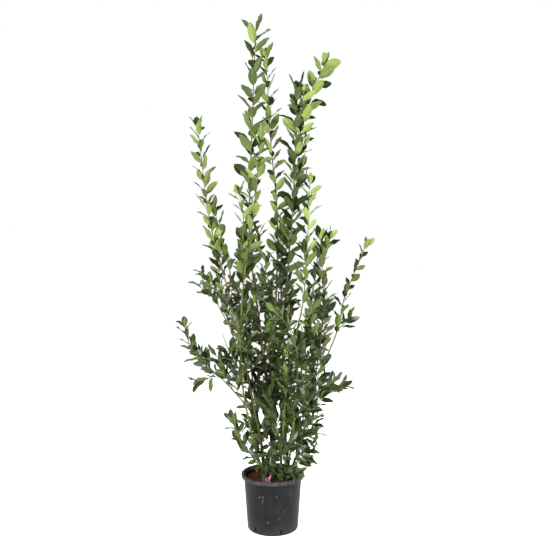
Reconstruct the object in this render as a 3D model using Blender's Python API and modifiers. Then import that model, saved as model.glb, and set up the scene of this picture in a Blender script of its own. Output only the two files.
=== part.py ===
"""A bay laurel bush with many upright stems, standing in a black plastic nursery pot.

Slim woody stems rise from one clump in the soil, lean outward and carry side boughs.
Each stem or bough ends where its leafy shoot begins.  Every leafy shoot is one solid:
a tapering axis, side twigs that branch from it by a seeded rule, and folded leaves set
round them in a spiral, all fused together.

Metres, +Z up.  The origin is the middle of the pot's flat underside; the front is -Y.
"""
import math
import random

import bmesh
import bpy
from mathutils import Matrix, Vector
from mathutils.bvhtree import BVHTree

GAP = 0.0003                    # clearance between pieces that touch
WELD = 0.00001                  # weld distance for the tubes' caps

# Pot
POT_HEIGHT = 0.240
RIM_RADIUS = 0.140              # outside of the turned-down rim
RIM_DROP = 0.016                # height of the rim's skirt
MOUTH_RADIUS = 0.130
NECK_RADIUS = 0.1275            # outside of the wall just under the rim
BASE_RADIUS = 0.111
POT_WALL = 0.0022
POT_FLOOR = 0.0030
EDGE_ROUND = 0.006
POT_STEPS = 28

# Drainage slots round the lower edge of the wall
SLOT_COUNT = 6
SLOT_BEARING = math.radians(-70.7)     # the slot right of the front, from +X
SLOT_WIDTH = 0.008
SLOT_BOTTOM = 0.008
SLOT_TOP = 0.028

# Soil
SOIL_TOP = 0.215
FOOT_LEVEL = SOIL_TOP + GAP

# Limbs
RING_STEP = 0.090               # spacing of a limb's rings
SQUARE_END = 0.006              # straight length at each squared end
FLARE = 0.6                     # extra width of a stem where it meets the soil
FLARE_LENGTH = 0.012
FLARE_RING = 0.026              # where the flare has all but gone
TIP_RADIUS = 0.0013
BOUGH_RADIUS = 0.0032
SIDE_RADIUS = 0.0026
TWIG_RADIUS = 0.0016
TRIANGLE_WIDTH = 1.4            # a three-sided twig is as strong as a round one this much slimmer

# Leaves
LEAF_LENGTH = 0.094
LEAF_WIDTH = 0.048
LEAF_THICKNESS = 0.0020
LEAF_WIDEST = 0.42              # share of the length where the blade is widest
LEAF_ARCH = 0.06                # rise of the blade's sides, as a share of its width
LEAF_TURN = math.radians(137.5)
LEAF_SPACING = 0.045            # along an axis
TWIG_LEAF_SPACING = 0.036
LEAF_SPREAD = (42.0, 58.0)      # degrees between a leaf and the shoot that it stands on
LEAF_SPREAD_LOST = 22.0         # degrees by which leaves close in toward the tip
LEAF_SIZES = (0.86, 1.12)
TIP_LEAF_SPREAD = 8.0
LEAF_ROOT = 0.3                 # how far past the axis a leaf is rooted, as a share of the radius
LEAF_CLEARANCE = 0.0012
FIRST_LEAF = 0.030              # bare length at the start of a leafy shoot or twig
SLEEVE = 0.135                  # farthest a shoot's leaves reach from its axis

# Side twigs within a leafy shoot
TWIG_REACH = (0.075, 0.105)
TWIG_OUT = 0.62                 # how far a twig leans out, as a share of its reach
TWIGS = 1
SIDE_SHOOT_TWIGS = 2
SIDE_SHOOT_SCALE = 1.12         # size of a side shoot's leaves, as each stands for a few

# Farthest reach of the crown on each side, and its top
REACH_LEFT = -0.415
REACH_RIGHT = 0.496
REACH_FRONT = -0.380
REACH_BACK = 0.430
CROWN_TOP = 2.293

# Stems: foot on the soil, the places each passes on its way to its tip, its radius
# above the flare, and the height where its leafy shoot takes over.
STEMS = {
    "leader": dict(
        foot=(0.000, 0.000), radius=0.0066, leafy_from=1.12,
        places=((-0.015, 0.012, 0.50), (-0.055, 0.035, 0.86), (-0.105, 0.060, 1.28),
                (-0.095, 0.070, 1.80), (-0.078, 0.050, 2.22))),
    "second": dict(
        foot=(0.012, 0.034), radius=0.0056, leafy_from=1.12,
        places=((-0.008, 0.070, 0.55), (0.012, 0.125, 0.95), (0.021, 0.150, 1.38),
                (-0.010, 0.140, 1.74), (-0.032, 0.100, 2.09))),
    "right_tall": dict(
        foot=(0.036, 0.012), radius=0.0056, leafy_from=1.08,
        places=((0.040, 0.050, 0.55), (0.055, 0.075, 0.97), (0.090, 0.070, 1.42),
                (0.112, 0.020, 1.93))),
    "left": dict(
        foot=(-0.040, 0.002), radius=0.0056, leafy_from=1.08,
        places=((-0.060, -0.020, 0.42), (-0.145, -0.030, 0.83), (-0.212, -0.018, 1.10),
                (-0.285, 0.000, 1.38), (-0.330, 0.000, 1.77))),
    "left_inner": dict(
        foot=(-0.030, -0.036), radius=0.0052, leafy_from=0.98,
        places=((-0.085, -0.060, 0.40), (-0.135, -0.100, 0.70), (-0.125, -0.150, 1.05),
                (-0.080, -0.160, 1.36), (-0.048, -0.130, 1.67))),
    "right_inner": dict(
        foot=(0.034, -0.036), radius=0.0050, leafy_from=0.96,
        places=((0.044, -0.095, 0.45), (0.075, -0.150, 0.76), (0.130, -0.125, 1.01),
                (0.150, -0.085, 1.27), (0.159, -0.060, 1.48))),
    "right_outer": dict(
        foot=(0.070, 0.016), radius=0.0052, leafy_from=0.84,
        places=((0.130, 0.022, 0.38), (0.182, 0.010, 0.62), (0.215, -0.010, 0.86),
                (0.222, -0.030, 1.06), (0.207, -0.040, 1.26))),
    "arching": dict(
        foot=(0.062, -0.040), radius=0.0044, leafy_from=0.80,
        places=((0.093, -0.120, 0.52), (0.103, -0.190, 0.77), (0.060, -0.228, 0.91),
                (-0.040, -0.245, 1.02))),
    "back_left": dict(
        foot=(-0.030, 0.044), radius=0.0050, leafy_from=0.80,
        places=((-0.075, 0.110, 0.50), (-0.130, 0.190, 0.88), (-0.150, 0.235, 1.30))),
    "back_middle": dict(
        foot=(0.004, 0.068), radius=0.0052, leafy_from=0.86,
        places=((0.012, 0.150, 0.55), (0.035, 0.245, 0.95), (0.050, 0.300, 1.38))),
    "back_right": dict(
        foot=(0.052, 0.054), radius=0.0050, leafy_from=0.78,
        places=((0.105, 0.120, 0.50), (0.170, 0.200, 0.86), (0.215, 0.235, 1.22))),
}

# Forks high in a shoot: the shoot, the height of the fork and the places it passes
FORKS = {
    "right_tall": dict(
        height=1.715, places=((0.138, 0.050, 1.815), (0.175, 0.070, 1.930), (0.236, 0.100, 2.075))),
    "right_outer": dict(
        height=1.160, places=((0.236, -0.015, 1.205), (0.254, 0.000, 1.265))),
}

# Boughs: the stem each leaves, the height where it does, the places on the way to its
# tip, and the share of its length that is bare.
BOUGHS = {
    "left_fork": dict(
        parent="left", height=1.03, bare=0.22,
        places=((-0.192, 0.005, 1.14), (-0.224, 0.025, 1.26), (-0.270, 0.050, 1.43))),
    "mid_left": dict(
        parent="left", height=0.83, bare=0.38,
        places=((-0.217, 0.020, 0.93), (-0.281, 0.070, 1.04), (-0.335, 0.100, 1.11))),
    "low_left": dict(
        parent="left_inner", height=0.56, bare=0.30,
        places=((-0.205, -0.115, 0.655), (-0.273, -0.125, 0.722), (-0.338, -0.135, 0.80),
                (-0.375, -0.145, 0.88))),
    "far_right": dict(
        parent="right_outer", height=0.66, bare=0.32,
        places=((0.252, 0.050, 0.765), (0.304, 0.090, 0.888), (0.330, 0.105, 1.01),
                (0.391, 0.130, 1.146), (0.450, 0.140, 1.235))),
    "right_low": dict(
        parent="right_outer", height=0.54, bare=0.30,
        places=((0.230, 0.040, 0.595), (0.315, 0.055, 0.622))),
    "foot_left": dict(
        parent="left_inner", height=0.265, bare=0.30,
        places=((-0.091, -0.068, 0.333), (-0.133, -0.085, 0.395), (-0.178, -0.095, 0.485))),
    "foot_right": dict(
        parent="right_outer", height=0.245, bare=0.30,
        places=((0.118, -0.012, 0.300), (0.178, -0.010, 0.336))),
    "back_reach_left": dict(
        parent="back_left", height=0.58, bare=0.34,
        places=((-0.150, 0.220, 0.72), (-0.215, 0.300, 0.86), (-0.245, 0.340, 0.98))),
    "back_reach_right": dict(
        parent="back_right", height=0.56, bare=0.34,
        places=((0.180, 0.225, 0.70), (0.235, 0.300, 0.83), (0.262, 0.335, 0.94))),
}

# Side shoots: the stems that carry one, and the height where it leaves.  Their bearings
# turn by the same angle as the leaves do.
SIDE_SHOOTS = (
    ("left_inner", 0.30), ("right_inner", 0.34), ("back_left", 0.30), ("right_outer", 0.36),
    ("left", 0.38), ("back_right", 0.32), ("arching", 0.50), ("back_middle", 0.44),
    ("left_inner", 0.74), ("right_tall", 0.60), ("leader", 0.64), ("back_middle", 0.70),
    ("right_inner", 0.74), ("second", 0.80), ("left", 0.68),
)
SIDE_START_BEARING = math.radians(200.0)
SIDE_DODGE = math.radians(25.0)        # how far one turns aside for a limb in its way
SIDE_LENGTH = 0.34
SIDE_OUT = 0.52                 # how far a side shoot reaches out, as a share of its length
SIDE_UP = 0.78

# Pink tape tied round the foot of one stem
TIE_STEM = "left_inner"
TIE_HEIGHT = 0.012
TIE_THICKNESS = 0.0012


def clear_scene():
    """Removes everything that is in the scene."""
    for old in list(bpy.data.objects):
        bpy.data.objects.remove(old, do_unlink=True)


def new_collection(name):
    """A collection linked to the scene."""
    group = bpy.data.collections.new(name)
    bpy.context.scene.collection.children.link(group)
    return group


def plain_material(name, colour, roughness):
    """A Principled material with one colour."""
    material = bpy.data.materials.new(name)
    material.use_nodes = True
    shader = material.node_tree.nodes["Principled BSDF"]
    shader.inputs["Base Color"].default_value = (*colour, 1.0)
    shader.inputs["Roughness"].default_value = roughness
    shader.inputs["Metallic"].default_value = 0.0
    return material


def add_part(name, mesh, material):
    """Puts a finished mesh into the plant's collection as a named part."""
    part = bpy.data.objects.new(name, mesh)
    mesh.materials.clear()
    mesh.materials.append(material)
    parts.objects.link(part)
    return part


def baked_mesh(guide):
    """The mesh that an object evaluates to, with the object removed."""
    depsgraph = bpy.context.evaluated_depsgraph_get()
    mesh = bpy.data.meshes.new_from_object(guide.evaluated_get(depsgraph))
    bpy.data.objects.remove(guide, do_unlink=True)
    return mesh


def turned(name, profile, steps):
    """A turned solid: its profile runs down the outer side, and closes on the axis or itself."""
    mesh = bpy.data.meshes.new(name)
    edges = [(index, index + 1) for index in range(len(profile) - 1)]
    mesh.from_pydata([(radius, 0.0, height) for radius, height in profile], edges, [])
    guide = bpy.data.objects.new(name, mesh)
    parts.objects.link(guide)
    screw = guide.modifiers.new("turn", "SCREW")
    screw.axis = "Z"
    screw.steps = steps
    screw.render_steps = steps
    screw.use_merge_vertices = True
    screw.merge_threshold = 0.0001
    return guide


def quarter(centre_radius, centre_height, radius, start, points=4):
    """Points on a quarter circle that turns clockwise from the start angle in degrees."""
    arc = []
    for step in range(points):
        angle = math.radians(start - 90.0 * step / (points - 1))
        arc.append((centre_radius + radius * math.cos(angle), centre_height + radius * math.sin(angle)))
    return arc


def make_pot():
    """The pot: tapered wall, turned-down rim, flat floor and slots round the lower edge."""
    inner_base = BASE_RADIUS - POT_WALL
    inner_neck = NECK_RADIUS - POT_WALL
    rim_underside = POT_HEIGHT - POT_WALL
    profile = [(0.0, POT_FLOOR), (inner_base, POT_FLOOR)]
    profile += [(inner_neck, POT_HEIGHT - RIM_DROP), (MOUTH_RADIUS, POT_HEIGHT)]
    profile += quarter(RIM_RADIUS - 0.003, POT_HEIGHT - 0.003, 0.003, 90.0)
    profile += [(RIM_RADIUS - 0.0008, POT_HEIGHT - RIM_DROP)]
    profile += [(RIM_RADIUS - 0.0008 - POT_WALL, POT_HEIGHT - RIM_DROP)]
    profile += [(RIM_RADIUS - POT_WALL, rim_underside - 0.001), (MOUTH_RADIUS + POT_WALL, rim_underside)]
    profile += [(NECK_RADIUS, POT_HEIGHT - RIM_DROP - 0.004)]
    profile += quarter(BASE_RADIUS - EDGE_ROUND, EDGE_ROUND, EDGE_ROUND, 0.0)
    profile += [(0.0, 0.0)]
    pot = turned("pot", profile, POT_STEPS)
    pot.data.materials.append(pot_plastic)

    slot_height = SLOT_TOP - SLOT_BOTTOM
    for index in range(SLOT_COUNT):
        bearing = SLOT_BEARING + index * math.tau / SLOT_COUNT
        bpy.ops.mesh.primitive_cube_add(size=1.0)
        cutter = bpy.context.object
        cutter.name = f"slot_cutter_{index + 1}"
        cutter.scale = (0.03, SLOT_WIDTH, slot_height)
        cutter.location = (BASE_RADIUS * math.cos(bearing), BASE_RADIUS * math.sin(bearing),
                           SLOT_BOTTOM + slot_height / 2)
        cutter.rotation_euler = (0.0, 0.0, bearing)
        cutter.hide_render = True
        cutter.display_type = "WIRE"
        for group in list(cutter.users_collection):
            group.objects.unlink(cutter)
        cutters.objects.link(cutter)
    slots = pot.modifiers.new("slots", "BOOLEAN")
    slots.operation = "DIFFERENCE"
    slots.operand_type = "COLLECTION"
    slots.collection = cutters
    return pot


def make_soil():
    """The soil that fills the pot, flat on top and clear of the wall all round."""
    inner_base = BASE_RADIUS - POT_WALL - GAP
    inner_neck = NECK_RADIUS - POT_WALL - GAP
    climb = (SOIL_TOP - POT_FLOOR) / (POT_HEIGHT - RIM_DROP - POT_FLOOR)
    inner_top = inner_base + (inner_neck - inner_base) * climb
    profile = [(0.0, SOIL_TOP), (inner_top - 0.004, SOIL_TOP), (inner_top - 0.0006, SOIL_TOP - 0.003)]
    profile += [(inner_base - 0.0006, POT_FLOOR + GAP), (0.0, POT_FLOOR + GAP)]
    soil = turned("soil", profile, POT_STEPS)
    soil.data.materials.append(soil_dark)
    return soil


def smooth_route(places, steps=14):
    """Closely spaced points on a Catmull-Rom curve through the places."""
    places = [Vector(place) for place in places]
    run = [2 * places[0] - places[1], *places, 2 * places[-1] - places[-2]]
    points = []
    for before, start, stop, after in zip(run, run[1:], run[2:], run[3:]):
        for step in range(steps):
            t = step / steps
            line = 2 * start + (stop - before) * t
            bend = (2 * before - 5 * start + 4 * stop - after) * t ** 2
            curl = (3 * start - before - 3 * stop + after) * t ** 3
            points.append((line + bend + curl) / 2)
    points.append(places[-1])
    return points


def route_length(route):
    """Length of a route along its points."""
    return sum((b - a).length for a, b in zip(route, route[1:]))


def place_along(route, distance):
    """The place at a distance along a route, and the route's direction there."""
    for start, stop in zip(route, route[1:]):
        step = (stop - start).length
        if distance <= step:
            return start.lerp(stop, distance / step), (stop - start).normalized()
        distance -= step
    direction = (route[-1] - route[-2]).normalized()
    return route[-1] + direction * distance, direction


def distance_at_height(route, height):
    """How far along a rising route a height is first reached."""
    travelled = 0.0
    for start, stop in zip(route, route[1:]):
        step = (stop - start).length
        if stop.z >= height:
            return travelled + step * (height - start.z) / (stop.z - start.z)
        travelled += step
    return travelled


def ring_places(route, start, stop, squared_start, squared_stop):
    """Ring distances and places between two distances, with straight squared ends."""
    count = max(2, round((stop - start) / RING_STEP))
    rings = []
    for index in range(count + 1):
        distance = start + (stop - start) * index / count
        place, direction = place_along(route, distance)
        rings.append((distance, place))
        if index == 0 and squared_start:
            rings.append((distance + SQUARE_END, place + direction * SQUARE_END))
        if index == count and squared_stop:
            rings.insert(-1, (distance - SQUARE_END, place - direction * SQUARE_END))
    return rings


def triangle_outline():
    """The three-sided outline that twigs are drawn along their routes with."""
    outline = bpy.data.curves.new("triangle_outline", "CURVE")
    outline.dimensions = "2D"
    spline = outline.splines.new("POLY")
    spline.points.add(2)
    for index, point in enumerate(spline.points):
        angle = math.tau * index / 3
        point.co = (math.cos(angle), math.sin(angle), 0.0, 1.0)
    spline.use_cyclic_u = True
    guide = bpy.data.objects.new("triangle_outline", outline)
    guide.hide_render = True
    guide.display_type = "WIRE"
    guides.objects.link(guide)
    return guide


def tube(name, places, radii, outline=None):
    """A closed tapering tube through the places, six-sided unless an outline is given."""
    curve = bpy.data.curves.new(name, "CURVE")
    curve.dimensions = "3D"
    curve.use_fill_caps = True
    if outline is None:
        curve.bevel_depth = 1.0
        curve.bevel_resolution = 1
    else:
        curve.bevel_mode = "OBJECT"
        curve.bevel_object = outline
    spline = curve.splines.new("POLY")
    spline.points.add(len(places) - 1)
    for point, place, radius in zip(spline.points, places, radii):
        point.co = (*place, 1.0)
        point.radius = radius
    guide = bpy.data.objects.new(name, curve)
    parts.objects.link(guide)
    mesh = baked_mesh(guide)
    bpy.data.curves.remove(curve)
    form = bmesh.new()
    form.from_mesh(mesh)
    bmesh.ops.remove_doubles(form, verts=form.verts, dist=WELD)
    bmesh.ops.recalc_face_normals(form, faces=form.faces)
    form.to_mesh(mesh)
    form.free()
    return mesh


def boolean(mesh, others, operation):
    """The mesh after one Boolean with a collection of other meshes, which it uses up."""
    group = new_collection("joined_pieces")
    for other in others:
        group.objects.link(bpy.data.objects.new("piece", other))
    body = bpy.data.objects.new("body", mesh)
    parts.objects.link(body)
    join = body.modifiers.new("join", "BOOLEAN")
    join.operation = operation
    join.operand_type = "COLLECTION"
    join.collection = group
    join.solver = "MANIFOLD"
    result = baked_mesh(body)
    for piece in list(group.objects):
        bpy.data.objects.remove(piece, do_unlink=True)
    bpy.data.collections.remove(group)
    keep_largest_body(result)
    return result


def keep_largest_body(mesh):
    """Drops loose scraps and the skins of sealed hollows, so one solid body is left."""
    form = bmesh.new()
    form.from_mesh(mesh)
    unseen = set(form.verts)
    bodies = []
    while unseen:
        edge_of_body = [unseen.pop()]
        body = set(edge_of_body)
        while edge_of_body:
            for edge in edge_of_body.pop().link_edges:
                for vert in edge.verts:
                    if vert in unseen:
                        unseen.discard(vert)
                        body.add(vert)
                        edge_of_body.append(vert)
        bodies.append(body)
    bodies.sort(key=len)
    for scrap in bodies[:-1]:
        bmesh.ops.delete(form, geom=list(scrap), context="VERTS")
    form.to_mesh(mesh)
    form.free()


def search_tree(mesh):
    """A tree of the mesh's faces that answers whether another one touches it."""
    return BVHTree.FromPolygons([vert.co for vert in mesh.vertices],
                                [tuple(face.vertices) for face in mesh.polygons])


def touches(mesh, obstacles):
    """Whether the mesh crosses any of the obstacles."""
    tree = search_tree(mesh)
    return any(tree.overlap(obstacle) for obstacle in obstacles)


def even_taper(start_radius, length, flare=0.0):
    """A radius that tapers evenly from the start to the tip, with a flare at the start."""
    def radius(distance):
        taper = TIP_RADIUS + (start_radius - TIP_RADIUS) * (1.0 - distance / length)
        return taper * (1.0 + flare * math.exp(-distance / FLARE_LENGTH))
    return radius


def leaf_mesh(base, direction, upper, length, width, thickness):
    """A blade of six faces: base, tip, two sides, and a keel where the midrib is."""
    side = upper.cross(direction)
    form = bmesh.new()
    bmesh.ops.create_uvsphere(form, u_segments=3, v_segments=2, radius=1.0)
    for vert in form.verts:
        on_waist = 1.0 - abs(vert.co.z)
        keel = on_waist * (vert.co.x + 0.5) / 1.5
        along = length * (LEAF_WIDEST * on_waist + (vert.co.z > 0.5))
        across = vert.co.y / math.sin(math.tau / 3) * width / 2
        rise = (on_waist - keel) * LEAF_ARCH * width - keel * thickness
        vert.co = base + direction * along + side * across + upper * rise
    mesh = bpy.data.meshes.new("leaf")
    form.to_mesh(mesh)
    form.free()
    return mesh


def inside_crown(place):
    """Whether a place lies within the crown's reach."""
    return (REACH_LEFT <= place.x <= REACH_RIGHT and REACH_FRONT <= place.y <= REACH_BACK
            and place.z <= CROWN_TOP)


class LeafyShoot:
    """One mass of leaves: an axis, its side twigs and the leaves on them."""

    def __init__(self, name, route, start, radius, seed, fork=None, cutter=None):
        self.name = name
        self.route = route
        self.spine = list(route)
        self.start = start
        self.stop = route_length(route)
        self.radius = radius
        self.luck = random.Random(seed)
        rings = ring_places(route, start, self.stop, cutter is None, False)
        radii = [TRIANGLE_WIDTH * radius(distance) for distance, place in rings]
        self.axis = tube(name, [place for distance, place in rings], radii, triangle)
        self.pieces = []
        if cutter is not None:
            self.axis = boolean(self.axis, [cutter], "DIFFERENCE")
        if fork is not None:
            self.fork_route, mesh = self.twig(fork["places"], distance_at_height(route, fork["height"]),
                                              SIDE_RADIUS)
            self.pieces.append(mesh)
            self.spine += self.fork_route
        self.fork = fork
        self.bones = [search_tree(mesh) for mesh in (self.axis, *self.pieces)]

    def twig(self, places, distance, start_radius):
        """A twig from the axis at a distance, through places given in the plant's frame."""
        foot, direction = place_along(self.route, distance)
        route = smooth_route((foot, *places), 6)
        length = route_length(route)
        radius = even_taper(start_radius, length)
        rings = ring_places(route, 0.0, length, False, False)
        mesh = tube("twig", [place for _, place in rings],
                    [TRIANGLE_WIDTH * radius(distance) for distance, _ in rings], triangle)
        return route, mesh

    def add_leaves(self, route, start, stop, radius, obstacles, spacing, scale):
        """Leaves in a spiral along a stretch of a route, closing in toward its tip."""
        count = max(2, round((stop - start) / spacing))
        turn = self.luck.uniform(0.0, math.tau)
        for index in range(count + 1):
            share = index / count
            distance = start + (stop - start - 0.004) * share
            foot, forward = place_along(route, distance)
            turn += LEAF_TURN + self.luck.uniform(-0.25, 0.25)
            outward = forward.orthogonal().normalized()
            outward.rotate(Matrix.Rotation(turn, 3, forward))
            spread = math.radians(self.luck.uniform(*LEAF_SPREAD) - LEAF_SPREAD_LOST * share ** 3)
            if index == count:
                spread = math.radians(TIP_LEAF_SPREAD)
            direction = forward * math.cos(spread) + outward * math.sin(spread)
            upper = forward * math.sin(spread) - outward * math.cos(spread)
            size = scale * self.luck.uniform(*LEAF_SIZES) * (1.0 - 0.25 * share ** 4)
            base = foot - outward * LEAF_ROOT * radius(distance)
            self.add_leaf(base, direction, upper, size, obstacles)

    def add_leaf(self, base, direction, upper, size, obstacles):
        """One leaf, unless it would leave the shoot's space or touch something else."""
        length = LEAF_LENGTH * size
        width = LEAF_WIDTH * size
        tip = base + direction * length
        if not inside_crown(tip) or min((tip - point).length for point in self.spine) > SLEEVE:
            return
        guard = leaf_mesh(base, direction, upper, length + LEAF_CLEARANCE, width + 2 * LEAF_CLEARANCE,
                          LEAF_THICKNESS + 2 * LEAF_CLEARANCE)
        blocked = touches(guard, obstacles)
        bpy.data.meshes.remove(guard)
        if not blocked:
            self.pieces.append(leaf_mesh(base, direction, upper, length, width, LEAF_THICKNESS))

    def grow(self, obstacles, scale, twig_count):
        """Grows the side twigs and all the leaves, then fuses them into one solid."""
        length = self.stop - self.start
        for index in range(twig_count):
            distance = self.start + length * (0.18 + 0.5 * (index + 0.5) / twig_count)
            foot, forward = place_along(self.route, distance)
            outward = forward.orthogonal().normalized()
            outward.rotate(Matrix.Rotation(self.luck.uniform(0.0, math.tau), 3, forward))
            reach = self.luck.uniform(*TWIG_REACH)
            middle = foot + reach * (0.45 * forward + 0.6 * TWIG_OUT * outward)
            tip = foot + reach * (forward + TWIG_OUT * outward)
            route, mesh = self.twig((middle, tip), distance, TWIG_RADIUS)
            if touches(mesh, obstacles) or not inside_crown(tip):
                continue
            self.pieces.append(mesh)
            radius = even_taper(TWIG_RADIUS, route_length(route))
            self.add_leaves(route, FIRST_LEAF, route_length(route), radius, obstacles,
                            TWIG_LEAF_SPACING, 0.9 * scale)
        if self.fork is not None:
            fork_length = route_length(self.fork_route)
            radius = even_taper(SIDE_RADIUS, fork_length)
            self.add_leaves(self.fork_route, FIRST_LEAF, fork_length, radius, obstacles,
                            LEAF_SPACING, scale)
        self.add_leaves(self.route, self.start + FIRST_LEAF, self.stop, self.radius, obstacles,
                        LEAF_SPACING, scale)
        mesh = boolean(self.axis, self.pieces, "UNION")
        return add_part(f"leaves_{self.name}", mesh, leaf_green)


def make_stem(name, stem):
    """A stem from its flat foot on the soil to where its leafy shoot begins."""
    foot = Vector((*stem["foot"], FOOT_LEVEL))
    route = smooth_route((foot, *stem["places"]))
    bare = distance_at_height(route, stem["leafy_from"])
    rings = ring_places(route, 0.0, bare, True, True)
    rings.insert(2, (FLARE_RING, place_along(route, FLARE_RING)[0]))
    places = [place for distance, place in rings]
    places[1] = foot + Vector((0.0, 0.0, SQUARE_END))
    radius = even_taper(stem["radius"], route_length(route), FLARE)
    radii = [radius(distance) for distance, place in rings]
    add_part(f"stem_{name}", tube(name, places, radii), bark_brown)
    return dict(route=route, bare=bare, radius=radius, places=places, radii=radii)


def saddle_cutter(limb):
    """A copy of a limb, fatter by the clearance, that shapes what leaves its side."""
    return tube("saddle", limb["places"], [radius + GAP for radius in limb["radii"]])


def make_bough(name, bough, parent):
    """A bough that leaves the side of its stem and ends where its leaves begin."""
    foot, _ = place_along(parent["route"], distance_at_height(parent["route"], bough["height"]))
    route = smooth_route((foot, *bough["places"]))
    length = route_length(route)
    bare = bough["bare"] * length
    radius = even_taper(BOUGH_RADIUS, length)
    rings = ring_places(route, 0.0, bare, False, True)
    places = [place for distance, place in rings]
    radii = [radius(distance) for distance, place in rings]
    mesh = boolean(tube(name, places, radii), [saddle_cutter(parent)], "DIFFERENCE")
    add_part(f"bough_{name}", mesh, bark_green)
    return dict(route=route, bare=bare, radius=radius)


def side_route(parent, height, bearing):
    """The route of a side shoot: out from the stem, then bending upward."""
    foot, _ = place_along(parent["route"], distance_at_height(parent["route"], height))
    outward = Vector((math.cos(bearing), math.sin(bearing), 0.0))
    up = Vector((0.0, 0.0, 1.0))
    middle = foot + SIDE_LENGTH * (0.62 * SIDE_OUT * outward + 0.42 * SIDE_UP * up)
    tip = foot + SIDE_LENGTH * (SIDE_OUT * outward + SIDE_UP * up)
    return smooth_route((foot, middle, tip))


def make_tie(limb):
    """A band of tape round the straight stretch of a stem just above its foot."""
    start, stop = limb["places"][1:3]
    fat, slim = limb["radii"][1:3]
    half = TIE_HEIGHT / 2
    below = 0.5 - half / (stop - start).length
    inside = fat + (slim - fat) * below + GAP
    outside = inside + TIE_THICKNESS
    profile = [(inside, -half), (inside, half), (outside, half), (outside, -half), (inside, -half)]
    tie = turned("tie", profile, 16)
    tie.location = (start + stop) / 2
    tie.rotation_euler = (stop - start).to_track_quat("Z", "Y").to_euler()
    tie.data.materials.append(tape_pink)
    return tie


clear_scene()
parts = new_collection("potted bay laurel bush")
cutters = new_collection("cutters")
guides = new_collection("guides")
triangle = triangle_outline()

pot_plastic = plain_material("pot_plastic", (0.035, 0.035, 0.034), 0.55)
soil_dark = plain_material("soil_dark", (0.045, 0.026, 0.018), 0.95)
bark_brown = plain_material("bark_brown", (0.060, 0.055, 0.025), 0.80)
bark_green = plain_material("bark_green", (0.115, 0.140, 0.040), 0.65)
leaf_green = plain_material("leaf_green", (0.130, 0.190, 0.065), 0.45)
tape_pink = plain_material("tape_pink", (0.750, 0.280, 0.450), 0.50)

make_pot()
make_soil()
limbs = {name: make_stem(name, stem) for name, stem in STEMS.items()}
make_tie(limbs[TIE_STEM])

shoots = []
for seed, (name, limb) in enumerate(limbs.items()):
    shoots.append(LeafyShoot(name, limb["route"], limb["bare"] + GAP, limb["radius"], seed,
                             fork=FORKS.get(name)))
for seed, (name, bough) in enumerate(BOUGHS.items(), 100):
    made = make_bough(name, bough, limbs[bough["parent"]])
    shoots.append(LeafyShoot(name, made["route"], made["bare"] + GAP, made["radius"], seed))

bpy.context.view_layer.update()
depsgraph = bpy.context.evaluated_depsgraph_get()
fixed = [BVHTree.FromObject(part, depsgraph) for part in parts.objects if part.name != "tie"]
for number, (parent, height) in enumerate(SIDE_SHOOTS):
    bearing = SIDE_START_BEARING + number * LEAF_TURN
    blocked = True
    while blocked:
        route = side_route(limbs[parent], height, bearing)
        shoot = LeafyShoot(
            f"side_{number + 1}", route, 0.0, even_taper(SIDE_RADIUS, route_length(route)),
            200 + number, cutter=saddle_cutter(limbs[parent]))
        blocked = touches(shoot.axis, fixed + [tree for other in shoots for tree in other.bones])
        bearing += SIDE_DODGE
    shoots.append(shoot)

grown = []
for shoot in shoots:
    others = [tree for other in shoots if other is not shoot for tree in other.bones]
    if shoot.name.startswith("side"):
        mass = shoot.grow(fixed + others + grown, SIDE_SHOOT_SCALE, SIDE_SHOOT_TWIGS)
    else:
        mass = shoot.grow(fixed + others + grown, 1.0, TWIGS)
    grown.append(search_tree(mass.data))
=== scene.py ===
"""A bay laurel bush of many upright stems in a black nursery pot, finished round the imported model.

Metres, +Z up.  The origin is the middle of the pot's flat underside, and the front is -Y.
"""
import math

import bpy
import numpy as np
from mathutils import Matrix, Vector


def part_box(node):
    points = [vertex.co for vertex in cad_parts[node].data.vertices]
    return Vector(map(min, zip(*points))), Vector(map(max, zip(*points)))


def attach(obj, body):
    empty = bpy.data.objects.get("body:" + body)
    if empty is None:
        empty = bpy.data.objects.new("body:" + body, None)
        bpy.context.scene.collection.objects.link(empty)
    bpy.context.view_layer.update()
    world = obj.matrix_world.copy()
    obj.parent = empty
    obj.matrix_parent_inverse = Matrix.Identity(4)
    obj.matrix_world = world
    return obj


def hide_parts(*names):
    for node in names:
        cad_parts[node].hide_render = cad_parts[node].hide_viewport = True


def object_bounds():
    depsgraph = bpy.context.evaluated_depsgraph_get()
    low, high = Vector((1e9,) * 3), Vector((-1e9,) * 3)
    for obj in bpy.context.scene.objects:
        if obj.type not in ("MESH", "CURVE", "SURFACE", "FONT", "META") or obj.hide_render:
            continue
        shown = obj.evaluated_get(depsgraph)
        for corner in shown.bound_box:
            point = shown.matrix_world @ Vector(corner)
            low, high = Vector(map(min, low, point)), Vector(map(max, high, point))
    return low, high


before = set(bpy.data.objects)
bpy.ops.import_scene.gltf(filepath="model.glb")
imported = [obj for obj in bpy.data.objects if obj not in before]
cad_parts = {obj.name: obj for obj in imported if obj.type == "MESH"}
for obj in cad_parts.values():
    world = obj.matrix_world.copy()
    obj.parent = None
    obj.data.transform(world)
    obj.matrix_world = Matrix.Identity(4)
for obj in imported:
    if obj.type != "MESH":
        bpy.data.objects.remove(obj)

cad_low, cad_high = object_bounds()


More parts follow.
